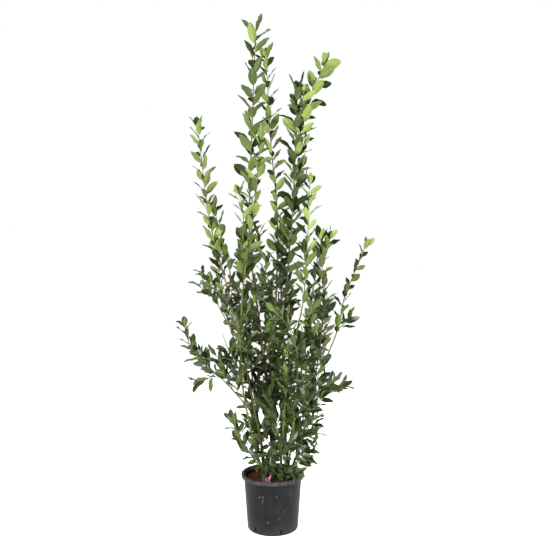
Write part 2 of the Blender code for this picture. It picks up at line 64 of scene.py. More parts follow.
# --- Pot ------------------------------------------------------------------------------
# A tapered nursery pot of black polypropylene, moulded in one: thin wall, turned-down rim,
# flat floor and drainage slots through the foot of the wall.  It is dusty and scuffed.
_, pot_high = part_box("pot")
POT_HEIGHT = pot_high.z
RIM_RADIUS = pot_high.x
RIM_DROP = 0.016                # height of the rim's skirt
MOUTH_RADIUS = 0.130
NECK_RADIUS = 0.1275            # outside of the wall just under the rim
BASE_RADIUS = 0.111
POT_WALL = 0.0022
POT_FLOOR = 0.0030
POT_COLUMNS = 144
POT_ROW = 0.012                 # tallest row of faces on the wall

SLOT_COUNT = 6
SLOT_BEARING = math.radians(-70.7)
SLOT_WIDTH = 0.008
SLOT_BOTTOM = 0.008
SLOT_TOP = 0.028
SLOT_DEPTH = 0.016

POT_BLACK = (10, 11, 12)
POT_DUST = (52, 53, 53)
# Colour of the rim, lighter than the wall: partly rubbed wear, partly painted sheen of the lit lip
POT_RIM_WEAR_AND_SHEEN = (106, 106, 104)
POT_SOILED = (92, 86, 79)
SCUFF_PALE = (196, 192, 188)

SCUFF_REACH = 0.02              # how deep into the wall a scuff's colour goes
# Scuffs on the front: bearing of the middle from the front in degrees, height, slant in
# degrees, half the length and half the width
SCUFFS = (
    (-27.0, 0.168, 62.0, 0.0100, 0.0028),
    (-19.0, 0.171, 30.0, 0.0075, 0.0022),
    (-21.0, 0.150, 14.0, 0.0200, 0.0018),
    (8.0, 0.174, -35.0, 0.0085, 0.0015),
    (39.0, 0.177, 25.0, 0.0060, 0.0022),
    (25.0, 0.104, 10.0, 0.0160, 0.0012),
    (14.0, 0.079, 20.0, 0.0040, 0.0030),
    (-10.0, 0.062, -35.0, 0.0095, 0.0021),
)


def unit(vectors):
    """The vectors shrunk or stretched to length one."""
    return vectors / np.linalg.norm(vectors, axis=-1, keepdims=True)


def linear(colour, alpha=True):
    """A colour of three 0-255 screen values as the linear values that a shader takes."""
    share = np.array(colour) / 255.0
    value = np.where(share <= 0.04045, share / 12.92, ((share + 0.055) / 1.055) ** 2.4)
    return (*value, 1.0) if alpha else tuple(value)


def distances_along(points):
    """How far along a line of points each point lies, adding up the steps between them."""
    steps = np.linalg.norm(np.diff(points, axis=0), axis=1)
    return np.concatenate(([0.0], np.cumsum(steps)))


def rounded(corners):
    """A profile through corners of (radius, height, rounding), each turned into a curve.

    The curve leaves one side the rounding's length before the corner and joins the other as
    far after it, and between them it is the parabola that the corner pulls toward itself.
    """
    corners = np.array(corners)
    places, roundings = corners[:, :2], corners[1:-1, 2:]
    middle = places[1:-1]
    start = middle + unit(places[:-2] - middle) * roundings
    stop = middle + unit(places[2:] - middle) * roundings
    t = np.linspace(0.0, 1.0, 5)[:, None, None]
    curves = start * (1 - t) ** 2 + 2 * middle * t * (1 - t) + stop * t ** 2
    return np.vstack((places[:1], curves.transpose(1, 0, 2).reshape(-1, 2), places[-1:]))


def densified(profile, step):
    """The same profile with points added wherever two lie more than a step apart."""
    travelled = distances_along(profile)
    added = np.arange(step, travelled[-1], step)
    crowded = np.abs(added[:, None] - travelled).min(axis=1) < step / 4
    stations = np.sort(np.concatenate((travelled, added[~crowded])))
    return np.stack([np.interp(stations, travelled, profile[:, axis]) for axis in (0, 1)], axis=1)


def closed_tubes(rings, first_poles, last_poles):
    """Tubes with a fan of triangles at each end, as points, four-sided and three-sided faces.

    The rings are an array of tube by row by column by XYZ.  Each face joins a row to the next
    and a column to its neighbour, with the last column joined to the first.
    """
    count, rows, columns = rings.shape[:3]
    points = np.concatenate(
        (rings.reshape(count, -1, 3), first_poles[:, None], last_poles[:, None]), axis=1)
    column = np.arange(columns)
    following = (column + 1) % columns
    row = np.arange(rows - 1)[:, None] * columns
    quads = np.stack((row + column, row + following, row + columns + following,
                      row + columns + column), axis=-1).reshape(-1, 4)
    end = (rows - 1) * columns
    first_fan = np.stack((following, column, np.full(columns, rows * columns)), axis=-1)
    last_fan = np.stack((end + column, end + following, np.full(columns, rows * columns + 1)),
                        axis=-1)
    triangles = np.vstack((first_fan, last_fan))
    ahead = (np.arange(count) * points.shape[1])[:, None, None]
    return (points.reshape(-1, 3), (quads + ahead).reshape(-1, 4),
            (triangles + ahead).reshape(-1, 3))


def turned(profile, columns):
    """A profile of radius and height turned round the Z axis, from its first pole to its last."""
    angles = np.linspace(0.0, math.tau, columns, endpoint=False)
    radius, height = profile[1:-1, :1], profile[1:-1, 1:]
    rings = np.stack((radius * np.cos(angles), radius * np.sin(angles),
                      np.broadcast_to(height, (len(radius), columns))), axis=-1)
    poles = np.array([[0.0, 0.0, profile[0, 1]], [0.0, 0.0, profile[-1, 1]]])
    return closed_tubes(rings[None], poles[:1], poles[1:])


def new_piece(name, shapes, materials, numbers=None, sharp=50.0):
    """One smooth-shaded object from some shapes, with creases where faces meet at over sharp degrees.

    A shape is its points, four-sided and three-sided faces.  The numbers say which material
    each shape takes, or each of a shape's faces.
    """
    numbers = [0] * len(shapes) if numbers is None else numbers
    faces, dealt, ahead = [], [], 0
    for (points, quads, triangles), number in zip(shapes, numbers):
        faces += (quads + ahead).tolist() + (triangles + ahead).tolist()
        dealt.append(np.broadcast_to(number, len(quads) + len(triangles)))
        ahead += len(points)
    mesh = bpy.data.meshes.new(name)
    mesh.from_pydata(np.vstack([points for points, _, _ in shapes]), [], faces)
    for material in materials:
        mesh.materials.append(material)
    mesh.polygons.foreach_set("material_index", np.concatenate(dealt).astype(np.int32))
    mesh.shade_smooth()
    mesh.set_sharp_from_angle(angle=math.radians(sharp))
    piece = bpy.data.objects.new(name, mesh)
    bpy.context.scene.collection.objects.link(piece)
    return piece


def cut_away(piece, cutters):
    """Cuts the cutters' shapes out of a piece, and removes them."""
    group = bpy.data.collections.new("cutters")
    for cutter in cutters:
        group.objects.link(cutter)
    cut = piece.modifiers.new("cut", "BOOLEAN")
    cut.operation = "DIFFERENCE"
    cut.operand_type = "COLLECTION"
    cut.collection = group
    cut.solver = "MANIFOLD"
    depsgraph = bpy.context.evaluated_depsgraph_get()
    whole = piece.data
    piece.data = bpy.data.meshes.new_from_object(piece.evaluated_get(depsgraph))
    piece.modifiers.clear()
    bpy.data.meshes.remove(whole)
    for cutter in cutters:
        bpy.data.objects.remove(cutter, do_unlink=True)
    bpy.data.collections.remove(group)


def new_material(name):
    """A plain Principled material, with its node tree and its shader."""
    material = bpy.data.materials.new(name)
    material.use_nodes = True
    return material, material.node_tree, material.node_tree.nodes["Principled BSDF"]


def node(tree, kind, inputs, **settings):
    """A shader node with its settings, each input set to a value or fed by another's output."""
    made = tree.nodes.new(f"ShaderNode{kind}")
    for setting, value in settings.items():
        setattr(made, setting, value)
    for socket, value in inputs.items():
        if isinstance(value, bpy.types.NodeSocket):
            tree.links.new(value, made.inputs[socket])
        else:
            made.inputs[socket].default_value = value
    return made


def ramp(tree, share, *stops):
    """A ramp between colours that stand at their places on the share from 0 to 1."""
    made = node(tree, "ValToRGB", {"Fac": share})
    elements = made.color_ramp.elements
    while len(elements) < len(stops):
        elements.new(0.5)
    for element, (place, colour) in zip(elements, stops):
        element.position = place
        element.color = linear(colour)
    return made.outputs["Color"]


def mixed(tree, share, first, second):
    """Two colours mixed by a share: all first at 0, all second at 1."""
    made = node(tree, "Mix", {0: share, 6: first, 7: second}, data_type="RGBA")
    return made.outputs[2]


def object_place(tree):
    """Where a point of the surface lies in the object's own frame."""
    return node(tree, "TexCoord", {}).outputs["Object"]


def height_of(tree, place):
    """The height of a place."""
    return node(tree, "SeparateXYZ", {0: place}).outputs["Z"]


def noise(tree, place, scale, detail, roughness=0.5):
    """Cloudy noise between 0 and 1."""
    made = node(tree, "TexNoise", {"Vector": place, "Scale": scale, "Detail": detail,
                                   "Roughness": roughness})
    return made.outputs["Fac"]


def remapped(tree, value, low, high, first, last):
    """A value that runs from first to last as another runs from low to high, held beyond both."""
    made = node(tree, "MapRange", {"Value": value, "From Min": low, "From Max": high,
                                   "To Min": first, "To Max": last})
    return made.outputs[0]


def combined(tree, operation, first, second, clamped=False):
    """Two numbers put together by an operation, and held between 0 and 1 if clamped."""
    made = node(tree, "Math", {0: first, 1: second}, operation=operation, use_clamp=clamped)
    return made.outputs[0]


def dent(tree, shader, strength, distance, height):
    """Makes a shader's surface look raised and sunk by a height between 0 and 1."""
    bump = node(tree, "Bump", {"Strength": strength, "Distance": distance, "Height": height})
    tree.links.new(bump.outputs[0], shader.inputs["Normal"])


def pot_plastic():
    """Matt black plastic with a bloom of dust, a soiled foot, a rim lightened by rubbing and by painted
    sheen, and pale scuffs.
    """
    material, tree, shader = new_material("pot_plastic_scuffed")
    place = object_place(tree)
    height = height_of(tree, place)

    cloud = noise(tree, place, scale=13.0, detail=8.0, roughness=0.68)
    bloom = remapped(tree, cloud, 0.40, 0.68, 0.0, 0.60)
    colour = mixed(tree, bloom, linear(POT_BLACK), linear(POT_DUST))

    low = remapped(tree, height, 0.0, 0.060, 0.60, 0.0)
    speckle = noise(tree, place, scale=150.0, detail=3.0)
    grime = combined(tree, "MULTIPLY", low, speckle)
    colour = mixed(tree, grime, colour, linear(POT_SOILED))

    crumb = remapped(tree, speckle, 0.68, 0.74, 0.0, 0.7)
    colour = mixed(tree, crumb, colour, linear(POT_SOILED))

    # Partly painted sheen: the whole rim is lightened in patches, partly for rubbed wear and partly as a
    # painted sheen where the rolled lip catches the light.
    rim = remapped(tree, height, POT_HEIGHT - RIM_DROP - 0.001, POT_HEIGHT - RIM_DROP + 0.001, 0.0, 1.0)
    rubbing = noise(tree, place, scale=60.0, detail=5.0, roughness=0.7)
    rim_wear_and_sheen = remapped(tree, rubbing, 0.35, 0.75, 0.08, 0.90)
    rim_wear_and_sheen_mask = combined(tree, "MULTIPLY", rim, rim_wear_and_sheen)
    colour = mixed(tree, rim_wear_and_sheen_mask, colour, linear(POT_RIM_WEAR_AND_SHEEN))

    grit = noise(tree, place, scale=420.0, detail=2.0)
    broken = remapped(tree, grit, 0.36, 0.58, 0.15, 1.0)
    scuffed = 0.0
    for bearing, scuff_height, slant, half_length, half_width in SCUFFS:
        wall = BASE_RADIUS + (NECK_RADIUS - BASE_RADIUS) * scuff_height / POT_HEIGHT
        angle = math.radians(bearing)
        centred = node(tree, "Mapping", {
            "Vector": place,
            "Location": (wall * math.sin(angle), -wall * math.cos(angle), scuff_height),
            "Rotation": (0.0, math.radians(slant), angle),
            "Scale": (half_width, SCUFF_REACH, half_length)}, vector_type="TEXTURE")
        patch = node(tree, "TexGradient", {"Vector": centred.outputs[0]}, gradient_type="SPHERICAL")
        mark = remapped(tree, patch.outputs["Fac"], 0.0, 0.80, 0.0, 0.60)
        scuffed = combined(tree, "MAXIMUM", scuffed, mark)
    scuffs = combined(tree, "MULTIPLY", scuffed, broken)
    colour = mixed(tree, scuffs, colour, linear(SCUFF_PALE))
    tree.links.new(colour, shader.inputs["Base Color"])

    shader.inputs["Specular IOR Level"].default_value = 0.18
    tree.links.new(remapped(tree, cloud, 0.3, 0.7, 0.42, 0.62), shader.inputs["Roughness"])
    dent(tree, shader, 0.25, 0.0006, rubbing)
    return material


wall_top = POT_HEIGHT - RIM_DROP
skirt = RIM_RADIUS - 0.0008
pot_profile = rounded((
    (0.0, 0.0, 0.0),
    (BASE_RADIUS, 0.0, 0.0060),
    (NECK_RADIUS, wall_top - 0.004, 0.0020),
    (MOUTH_RADIUS + POT_WALL, POT_HEIGHT - POT_WALL, 0.0010),
    (RIM_RADIUS - POT_WALL, POT_HEIGHT - POT_WALL - 0.001, 0.0010),
    (skirt - POT_WALL, wall_top, 0.0008),
    (skirt, wall_top, 0.0008),
    (RIM_RADIUS, POT_HEIGHT, 0.0042),
    (MOUTH_RADIUS, POT_HEIGHT, 0.0020),
    (NECK_RADIUS - POT_WALL, wall_top, 0.0030),
    (BASE_RADIUS - POT_WALL, POT_FLOOR, 0.0040),
    (0.0, POT_FLOOR, 0.0)))
pot = new_piece("nursery_pot", [turned(densified(pot_profile, POT_ROW), POT_COLUMNS)], [pot_plastic()])

# Each slot is cut by a bar along the wall's radius, with an oblong outline whose corners
# are rounded: the square roots of the sine and cosine in place of themselves.
turn = np.linspace(0.0, math.tau, 24, endpoint=False)
slot_across = np.sign(np.cos(turn)) * np.sqrt(np.abs(np.cos(turn))) * SLOT_WIDTH / 2
slot_up = np.sign(np.sin(turn)) * np.sqrt(np.abs(np.sin(turn))) * (SLOT_TOP - SLOT_BOTTOM) / 2
slot_cutters = []
for slot_number in range(SLOT_COUNT):
    bearing = SLOT_BEARING + slot_number * math.tau / SLOT_COUNT
    outward = np.array((math.cos(bearing), math.sin(bearing), 0.0))
    sideways = np.array((-math.sin(bearing), math.cos(bearing), 0.0))
    middle = np.array((0.0, 0.0, (SLOT_BOTTOM + SLOT_TOP) / 2)) + BASE_RADIUS * outward
    ends = np.stack((middle - outward * SLOT_DEPTH / 2, middle + outward * SLOT_DEPTH / 2))
    outline = slot_across[:, None] * sideways + slot_up[:, None] * np.array((0.0, 0.0, 1.0))
    bar = closed_tubes((ends[:, None] + outline)[None], ends[:1], ends[1:])
    slot_cutters.append(new_piece(f"slot_cutter_{slot_number + 1}", [bar], []))
cut_away(pot, slot_cutters)
pot.data.shade_smooth()
pot.data.set_sharp_from_angle(angle=math.radians(40.0))
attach(pot, "root")
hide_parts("pot")


# --- Soil -----------------------------------------------------------------------------
# Bark and peat compost that fills the pot to a thumb's breadth under the rim, heaped
# against the stems and strewn with crumbs and chips of bark.
SOIL_TOP = 0.215
SOIL_GAP = 0.0006
SOIL_COLUMNS = 120
SOIL_ROW = 0.0026
SOIL_RIPPLES = 26
SOIL_RIPPLE_LENGTHS = (0.008, 0.060)
SOIL_RIPPLE_HEIGHT = 0.00055
SOIL_SUNK = 0.0015              # how far the middle of the ripples lies under the soil's top
SOIL_HEAP = 0.0045              # height of the heap against a stem's foot
SOIL_HEAP_REACH = 0.012

CRUMB_COUNT = 900
CRUMB_SIZES = (0.0013, 0.0054)  # half lengths
CRUMB_WIDTHS = (0.4, 0.8)       # shares of a crumb's length
CRUMB_THICKNESSES = (0.25, 0.6)
CRUMB_DENTS = (0.75, 1.15)      # where a corner may stand, as a share of the ball's radius
CRUMB_SPREAD = 0.119
CRUMB_LIFT = 0.0004
SOIL_DARK = (30, 21, 16)
# Colour of painted shade on the compost below its top, where the slots show it
SOIL_PAINTED_SHADE = (20, 8, 5)
SOIL_BROWN = (98, 57, 36)
CRUMB_COLOURS = ((60, 36, 25), (128, 64, 36), (178, 98, 66), (25, 19, 16))
CRUMB_COLOUR_SHARES = (0.34, 0.25, 0.08, 0.33)

# Where each stem stands on the soil
STEM_FEET = {
    "leader": (0.000, 0.000), "second": (0.012, 0.034), "right_tall": (0.036, 0.012),
    "left": (-0.040, 0.002), "left_inner": (-0.030, -0.036), "right_inner": (0.034, -0.036),
    "right_outer": (0.070, 0.016), "arching": (0.062, -0.040), "back_left": (-0.030, 0.044),
    "back_middle": (0.004, 0.068), "back_right": (0.052, 0.054),
}

soil_luck = np.random.default_rng(11)
ripple_lengths = soil_luck.uniform(*SOIL_RIPPLE_LENGTHS, SOIL_RIPPLES)
ripple_bearings = soil_luck.uniform(0.0, math.tau, SOIL_RIPPLES)
ripple_phases = soil_luck.uniform(0.0, math.tau, SOIL_RIPPLES)


def soil_height(x, y):
    """Height of the soil at places: its level, plus ripples, plus a heap at each stem's foot.

    The ripples are sine waves that run every way, as tall as their length to the 0.4, and a heap
    falls off with the square of the distance from the foot.
    """
    across = x[..., None] * np.cos(ripple_bearings) + y[..., None] * np.sin(ripple_bearings)
    waves = np.sin(math.tau * across / ripple_lengths + ripple_phases)
    waves = waves * (ripple_lengths / SOIL_RIPPLE_LENGTHS[1]) ** 0.4
    feet = np.array(list(STEM_FEET.values()))
    near = (x[..., None] - feet[:, 0]) ** 2 + (y[..., None] - feet[:, 1]) ** 2
    heaps = np.exp(-near / SOIL_HEAP_REACH ** 2).max(axis=-1)
    return SOIL_TOP + SOIL_RIPPLE_HEIGHT * waves.sum(axis=-1) + SOIL_HEAP * heaps - SOIL_SUNK


def compost():
    """Damp dark compost with browner fibres, rough all over, and darker under its surface by painted shade,
    where the pot's slots show it.
    """
    material, tree, shader = new_material("compost")
    place = object_place(tree)
    grain = noise(tree, place, scale=260.0, detail=8.0, roughness=0.7)
    colour = ramp(tree, grain, (0.35, SOIL_DARK), (0.62, SOIL_BROWN), (0.75, CRUMB_COLOURS[2]))
    height = height_of(tree, place)
    # Painted shade: under its top the compost turns much darker, for the shade inside the pot that the
    # slots show.
    painted_shade_below = remapped(tree, height, 0.16, 0.20, 1.0, 0.0)
    colour = mixed(tree, painted_shade_below, colour, linear(SOIL_PAINTED_SHADE))
    tree.links.new(colour, shader.inputs["Base Color"])
    shader.inputs["Roughness"].default_value = 0.95
    shader.inputs["Specular IOR Level"].default_value = 0.08
    dent(tree, shader, 0.9, 0.002, grain)
    return material


def bark_crumb(number, colour):
    """Crumbs of one brown, mottled lighter and darker."""
    material, tree, shader = new_material(f"bark_crumb_{number + 1}")
    place = object_place(tree)
    grain = noise(tree, place, scale=500.0, detail=3.0)
    darker = tuple(0.6 * value for value in colour)
    tree.links.new(ramp(tree, grain, (0.35, darker), (0.65, colour)), shader.inputs["Base Color"])
    shader.inputs["Roughness"].default_value = 0.9
    return material


soil_base = BASE_RADIUS - POT_WALL - SOIL_GAP
soil_edge = soil_base + (NECK_RADIUS - BASE_RADIUS) * SOIL_TOP / wall_top
soil_radii = np.linspace(soil_edge, 0.0, round(soil_edge / SOIL_ROW))
soil_profile = np.vstack((
    ((0.0, POT_FLOOR + SOIL_GAP), (soil_base, POT_FLOOR + SOIL_GAP)),
    np.stack((soil_radii, np.full(len(soil_radii), SOIL_TOP)), axis=1)))
soil_points, soil_quads, soil_triangles = turned(soil_profile, SOIL_COLUMNS)
on_top = soil_points[:, 2] > SOIL_TOP - SOIL_GAP
soil_points[on_top, 2] = soil_height(soil_points[on_top, 0], soil_points[on_top, 1])
soil = new_piece("potting_compost", [(soil_points, soil_quads, soil_triangles)], [compost()], sharp=70.0)
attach(soil, "root")
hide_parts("soil")

# A crumb is a twelve-cornered ball: its corners stand where the three golden rectangles
# reach, each pushed in or out by chance, and the ball is then flattened and turned.
golden = (1 + math.sqrt(5)) / 2
CRUMB_CORNERS = unit(np.array([
    (-1, golden, 0), (1, golden, 0), (-1, -golden, 0), (1, -golden, 0), (0, -1, golden), (0, 1, golden),
    (0, -1, -golden), (0, 1, -golden), (golden, 0, -1), (golden, 0, 1), (-golden, 0, -1), (-golden, 0, 1)]))
CRUMB_FACES = np.array([
    (0, 11, 5), (0, 5, 1), (0, 1, 7), (0, 7, 10), (0, 10, 11), (1, 5, 9), (5, 11, 4), (11, 10, 2),
    (10, 7, 6), (7, 1, 8), (3, 9, 4), (3, 4, 2), (3, 2, 6), (3, 6, 8), (3, 8, 9), (4, 9, 5), (2, 4, 11),
    (6, 2, 10), (8, 6, 7), (9, 8, 1)])

crumb_half = soil_luck.uniform(*CRUMB_SIZES, (CRUMB_COUNT, 1))
crumb_shape = np.hstack((crumb_half, crumb_half * soil_luck.uniform(*CRUMB_WIDTHS, (CRUMB_COUNT, 1)),
                         crumb_half * soil_luck.uniform(*CRUMB_THICKNESSES, (CRUMB_COUNT, 1))))
crumb_push = soil_luck.uniform(*CRUMB_DENTS, (CRUMB_COUNT, len(CRUMB_CORNERS), 1))
crumb_turns = np.linalg.qr(soil_luck.normal(0.0, 1.0, (CRUMB_COUNT, 3, 3)))[0]
crumb_turns *= np.sign(np.linalg.det(crumb_turns))[:, None, None]
crumb_reach = CRUMB_SPREAD * np.sqrt(soil_luck.uniform(0.0, 1.0, CRUMB_COUNT))
crumb_bearings = soil_luck.uniform(0.0, math.tau, CRUMB_COUNT)
crumb_x = crumb_reach * np.cos(crumb_bearings)
crumb_y = crumb_reach * np.sin(crumb_bearings)
crumb_places = np.stack((crumb_x, crumb_y, soil_height(crumb_x, crumb_y) + CRUMB_LIFT), axis=1)
crumb_points = crumb_places[:, None] + (
    CRUMB_CORNERS * crumb_push * crumb_shape[:, None]) @ crumb_turns
crumb_faces = CRUMB_FACES + len(CRUMB_CORNERS) * np.arange(CRUMB_COUNT)[:, None, None]
crumb_tints = soil_luck.choice(len(CRUMB_COLOURS), CRUMB_COUNT, p=CRUMB_COLOUR_SHARES)
crumb_shapes = (crumb_points.reshape(-1, 3), np.zeros((0, 4), int), crumb_faces.reshape(-1, 3))
crumbs = new_piece("bark_crumbs", [crumb_shapes],
                   [bark_crumb(number, colour) for number, colour in enumerate(CRUMB_COLOURS)],
                   [np.repeat(crumb_tints, len(CRUMB_FACES))], sharp=35.0)
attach(crumbs, "root")


# --- Stems ----------------------------------------------------------------------------
# Eleven slim woody stems that rise from one clump in the soil and lean outward.  Their bark
# is thin and dull olive brown, smoother and more coloured higher up, with a swollen leaf
# scar every few centimetres and a slight flare at the soil.
TIP_RADIUS = 0.0013
FLARE = 0.6                     # extra width where a stem meets the soil
FLARE_LENGTH = 0.012
FOOT_DEPTH = 0.004              # how far a stem goes on into the heaped soil
BARK_ROW = 0.0045
BARK_COLUMNS = 14
FIRST_SCAR = 0.020
SCAR_SPACING = 0.036
SCAR_SHIFT = 0.008              # how far the row of scars may be moved along
SCAR_HEIGHT = 0.0009
SCAR_LENGTH = 0.0030
SCAR_SPREAD = 0.75              # radians round the stem
LEAF_TURN = math.radians(137.5)
JOINT_OVERLAP = 0.003           # how far the leafy shoot starts inside the stem's end

STEM_RADII = {
    "leader": 0.0066, "second": 0.0056, "right_tall": 0.0056, "left": 0.0056, "left_inner": 0.0052,
    "right_inner": 0.0050, "right_outer": 0.0052, "arching": 0.0044, "back_left": 0.0050,
    "back_middle": 0.0052, "back_right": 0.0050,
}
STEM_PLACES = {
    "leader": ((-0.015, 0.012, 0.50), (-0.055, 0.035, 0.86), (-0.105, 0.060, 1.28),
               (-0.095, 0.070, 1.80), (-0.0754, 0.050, 2.270)),
    "second": ((-0.008, 0.070, 0.55), (0.012, 0.125, 0.95), (0.021, 0.150, 1.38),
               (-0.010, 0.140, 1.74), (-0.032, 0.100, 2.125)),
    "right_tall": ((0.040, 0.050, 0.55), (0.055, 0.075, 0.97), (0.090, 0.070, 1.42),
                   (0.112, 0.020, 1.945)),
    "left": ((-0.060, -0.020, 0.42), (-0.145, -0.030, 0.83), (-0.212, -0.018, 1.10),
             (-0.285, 0.000, 1.38), (-0.334, 0.000, 1.782)),
    "left_inner": ((-0.085, -0.060, 0.40), (-0.135, -0.100, 0.70), (-0.125, -0.150, 1.05),
                   (-0.080, -0.160, 1.36), (-0.050, -0.130, 1.70)),
    "right_inner": ((0.044, -0.095, 0.45), (0.075, -0.150, 0.76), (0.130, -0.125, 1.01),
                    (0.150, -0.085, 1.27), (0.163, -0.060, 1.525)),
    "right_outer": ((0.130, 0.022, 0.38), (0.182, 0.010, 0.62), (0.215, -0.010, 0.86),
                    (0.222, -0.030, 1.06), (0.207, -0.040, 1.285)),
    "arching": ((0.093, -0.120, 0.52), (0.103, -0.190, 0.77), (0.060, -0.228, 0.91),
                (-0.040, -0.245, 1.02)),
    "back_left": ((-0.075, 0.110, 0.50), (-0.130, 0.190, 0.88), (-0.150, 0.235, 1.30)),
    "back_middle": ((0.012, 0.150, 0.55), (0.035, 0.245, 0.95), (0.050, 0.300, 1.38)),
    "back_right": ((0.105, 0.120, 0.50), (0.170, 0.200, 0.86), (0.215, 0.235, 1.22)),
}
# Height where each stem's leafy shoot takes over from its bark
LEAFY_FROM = {
    "leader": 1.12, "second": 1.12, "right_tall": 1.08, "left": 1.08, "left_inner": 0.98,
    "right_inner": 0.96, "right_outer": 0.84, "arching": 0.80, "back_left": 0.80,
    "back_middle": 0.86, "back_right": 0.78,
}
# Colour of the wood at the foot and of the young shoot, for each kind of stem
WOOD_FOOT = (66, 62, 42)
WOOD_COLOURS = {
    "russet": (112, 78, 58), "plum": (100, 76, 68), "tan": (150, 120, 96),
    "olive": (104, 104, 60), "green": (118, 126, 62),
}
# Height where each kind's bark stops being old, and where it is all young
BARK_HEIGHTS = {
    "russet": (0.60, 1.30), "plum": (0.50, 1.20), "tan": (0.40, 1.10), "olive": (0.25, 0.80),
    "green": (0.20, 0.38),
}
STEM_WOODS = {
    "leader": "russet", "second": "plum", "right_tall": "olive", "left": "green", "left_inner": "green",
    "right_inner": "green", "right_outer": "olive", "arching": "green", "back_left": "olive",
    "back_middle": "russet", "back_right": "olive",
}


def smooth_route(places, steps=14):
    """Close points on a smooth curve through the places, a Catmull-Rom curve.

    Each stretch is the cubic that starts and ends at two neighbouring places, with the slope at
    each place half the way from the place before it to the one after.
    """
    places = np.array(places)
    run = np.vstack((2 * places[0] - places[1], places, 2 * places[-1] - places[-2]))
    before, start, stop, after = run[:-3], run[1:-2], run[2:-1], run[3:]
    t = (np.arange(steps) / steps)[:, None, None]
    line = 2 * start + (stop - before) * t
    bend = (2 * before - 5 * start + 4 * stop - after) * t ** 2
    curl = (3 * start - before - 3 * stop + after) * t ** 3
    points = ((line + bend + curl) / 2).transpose(1, 0, 2).reshape(-1, 3)
    return np.vstack((points, places[-1:]))


class Limb:
    """A tapering stem, bough, shoot or twig on a smooth route."""

    def __init__(self, places, start_radius, flare=0.0):
        self.route = smooth_route(places)
        self.travelled = distances_along(self.route)
        self.slopes = np.gradient(self.route, self.travelled, axis=0)
        self.length = self.travelled[-1]
        self.start_radius = start_radius
        self.flare = flare
        self.stub = 0.004               # bare end past the last leaf
        self.tip_leaves = 0             # leaves crowded at the tip, beside the last one

    def at(self, distances):
        """Places and unit directions at distances along the limb, read off between its points."""
        places = [np.interp(distances, self.travelled, line) for line in self.route.T]
        slopes = [np.interp(distances, self.travelled, line) for line in self.slopes.T]
        return np.stack(places, axis=-1), unit(np.stack(slopes, axis=-1))

    def radius(self, distances):
        """An even taper from the start to the tip, times a flare that dies away from the foot."""
        share = np.clip(1.0 - distances / self.length, 0.0, 1.0)
        taper = TIP_RADIUS + (self.start_radius - TIP_RADIUS) * share
        return taper * (1.0 + self.flare * np.exp(-np.maximum(distances, 0.0) / FLARE_LENGTH))

    def distance_at(self, height):
        """How far along the limb a height is first reached."""
        return float(np.interp(height, np.maximum.accumulate(self.route[:, 2]), self.travelled))


def square_to(directions):
    """Two unit vectors at each direction, square to it and to one another."""
    spare = np.eye(3)[np.argmin(np.abs(directions.mean(axis=0)))]
    side = unit(np.cross(directions, spare))
    return side, np.cross(directions, side)


def bark_relief(limb, luck):
    """How far a limb's surface stands out at distances along it and angles round it.

    It is the taper, plus a swelling at each leaf scar that falls off along and round the limb,
    plus a slow waver and fine ridges that run lengthwise and fade as the limb slims.
    """
    scars = np.arange(FIRST_SCAR, limb.length, SCAR_SPACING) + luck.uniform(-SCAR_SHIFT, SCAR_SHIFT)
    bearings = luck.uniform(0.0, math.tau) + LEAF_TURN * np.arange(len(scars))
    phases = luck.uniform(0.0, math.tau, 4)

    def surface(distances, angles):
        apart = (distances[..., None] - scars) / SCAR_LENGTH
        around = np.angle(np.exp(1j * (angles[..., None] - bearings))) / SCAR_SPREAD
        swelling = (np.exp(-apart ** 2) * (0.35 + 0.65 * np.exp(-around ** 2))).sum(axis=-1)
        taper = limb.radius(distances)
        waver = 0.05 * np.sin(2 * angles + 31 * distances + phases[0])
        waver = waver + 0.03 * np.sin(angles + 83 * distances + phases[1])
        ridges = 0.03 * np.sin(5 * angles + 9 * np.sin(24 * distances + phases[2]) + phases[3])
        return taper * (1.0 + waver + ridges) + SCAR_HEIGHT * (0.4 + 90 * taper) * swelling
    return surface


def limb_shape(limb, start, stop, row, columns, surface):
    """A limb's closed tube from one distance to another, its surface given by a function."""
    stations = np.linspace(start, stop, max(3, round((stop - start) / row)))
    centres, directions = limb.at(stations)
    centres = centres + directions * np.minimum(stations, 0.0)[:, None]
    side, other = square_to(directions)
    angles = np.linspace(0.0, math.tau, columns, endpoint=False)
    around = (np.cos(angles)[:, None] * side[:, None] + np.sin(angles)[:, None] * other[:, None])
    reach = surface(stations[:, None], angles[None, :])
    rings = centres[:, None] + np.broadcast_to(reach, around.shape[:2])[..., None] * around
    return closed_tubes(rings[None], centres[:1], centres[-1:])


def bark(name, foot_colour, young_colour, foot_height, young_height):
    """Bark that turns from the dull wood of the foot to the colour of the young shoot."""
    material, tree, shader = new_material(f"bark_{name}")
    place = object_place(tree)
    height = height_of(tree, place)
    stretched = node(tree, "Mapping", {"Vector": place, "Scale": (1.0, 1.0, 0.22)})
    grain = noise(tree, stretched.outputs[0], scale=420.0, detail=5.0, roughness=0.6)
    patches = noise(tree, place, scale=24.0, detail=4.0)
    age = remapped(tree, height, foot_height, young_height, 0.0, 1.0)
    shifted = combined(tree, "SUBTRACT", patches, 0.45)
    mottled = combined(tree, "ADD", age, shifted, clamped=True)
    colour = mixed(tree, mottled, linear(foot_colour), linear(young_colour))
    darker = remapped(tree, grain, 0.35, 0.65, 0.62, 1.12)
    shade = node(tree, "Mix", {0: 1.0, 6: colour, 7: darker}, data_type="RGBA", blend_type="MULTIPLY")
    tree.links.new(shade.outputs[2], shader.inputs["Base Color"])
    shader.inputs["Roughness"].default_value = 0.72
    dent(tree, shader, 0.5, 0.0006, grain)
    return material


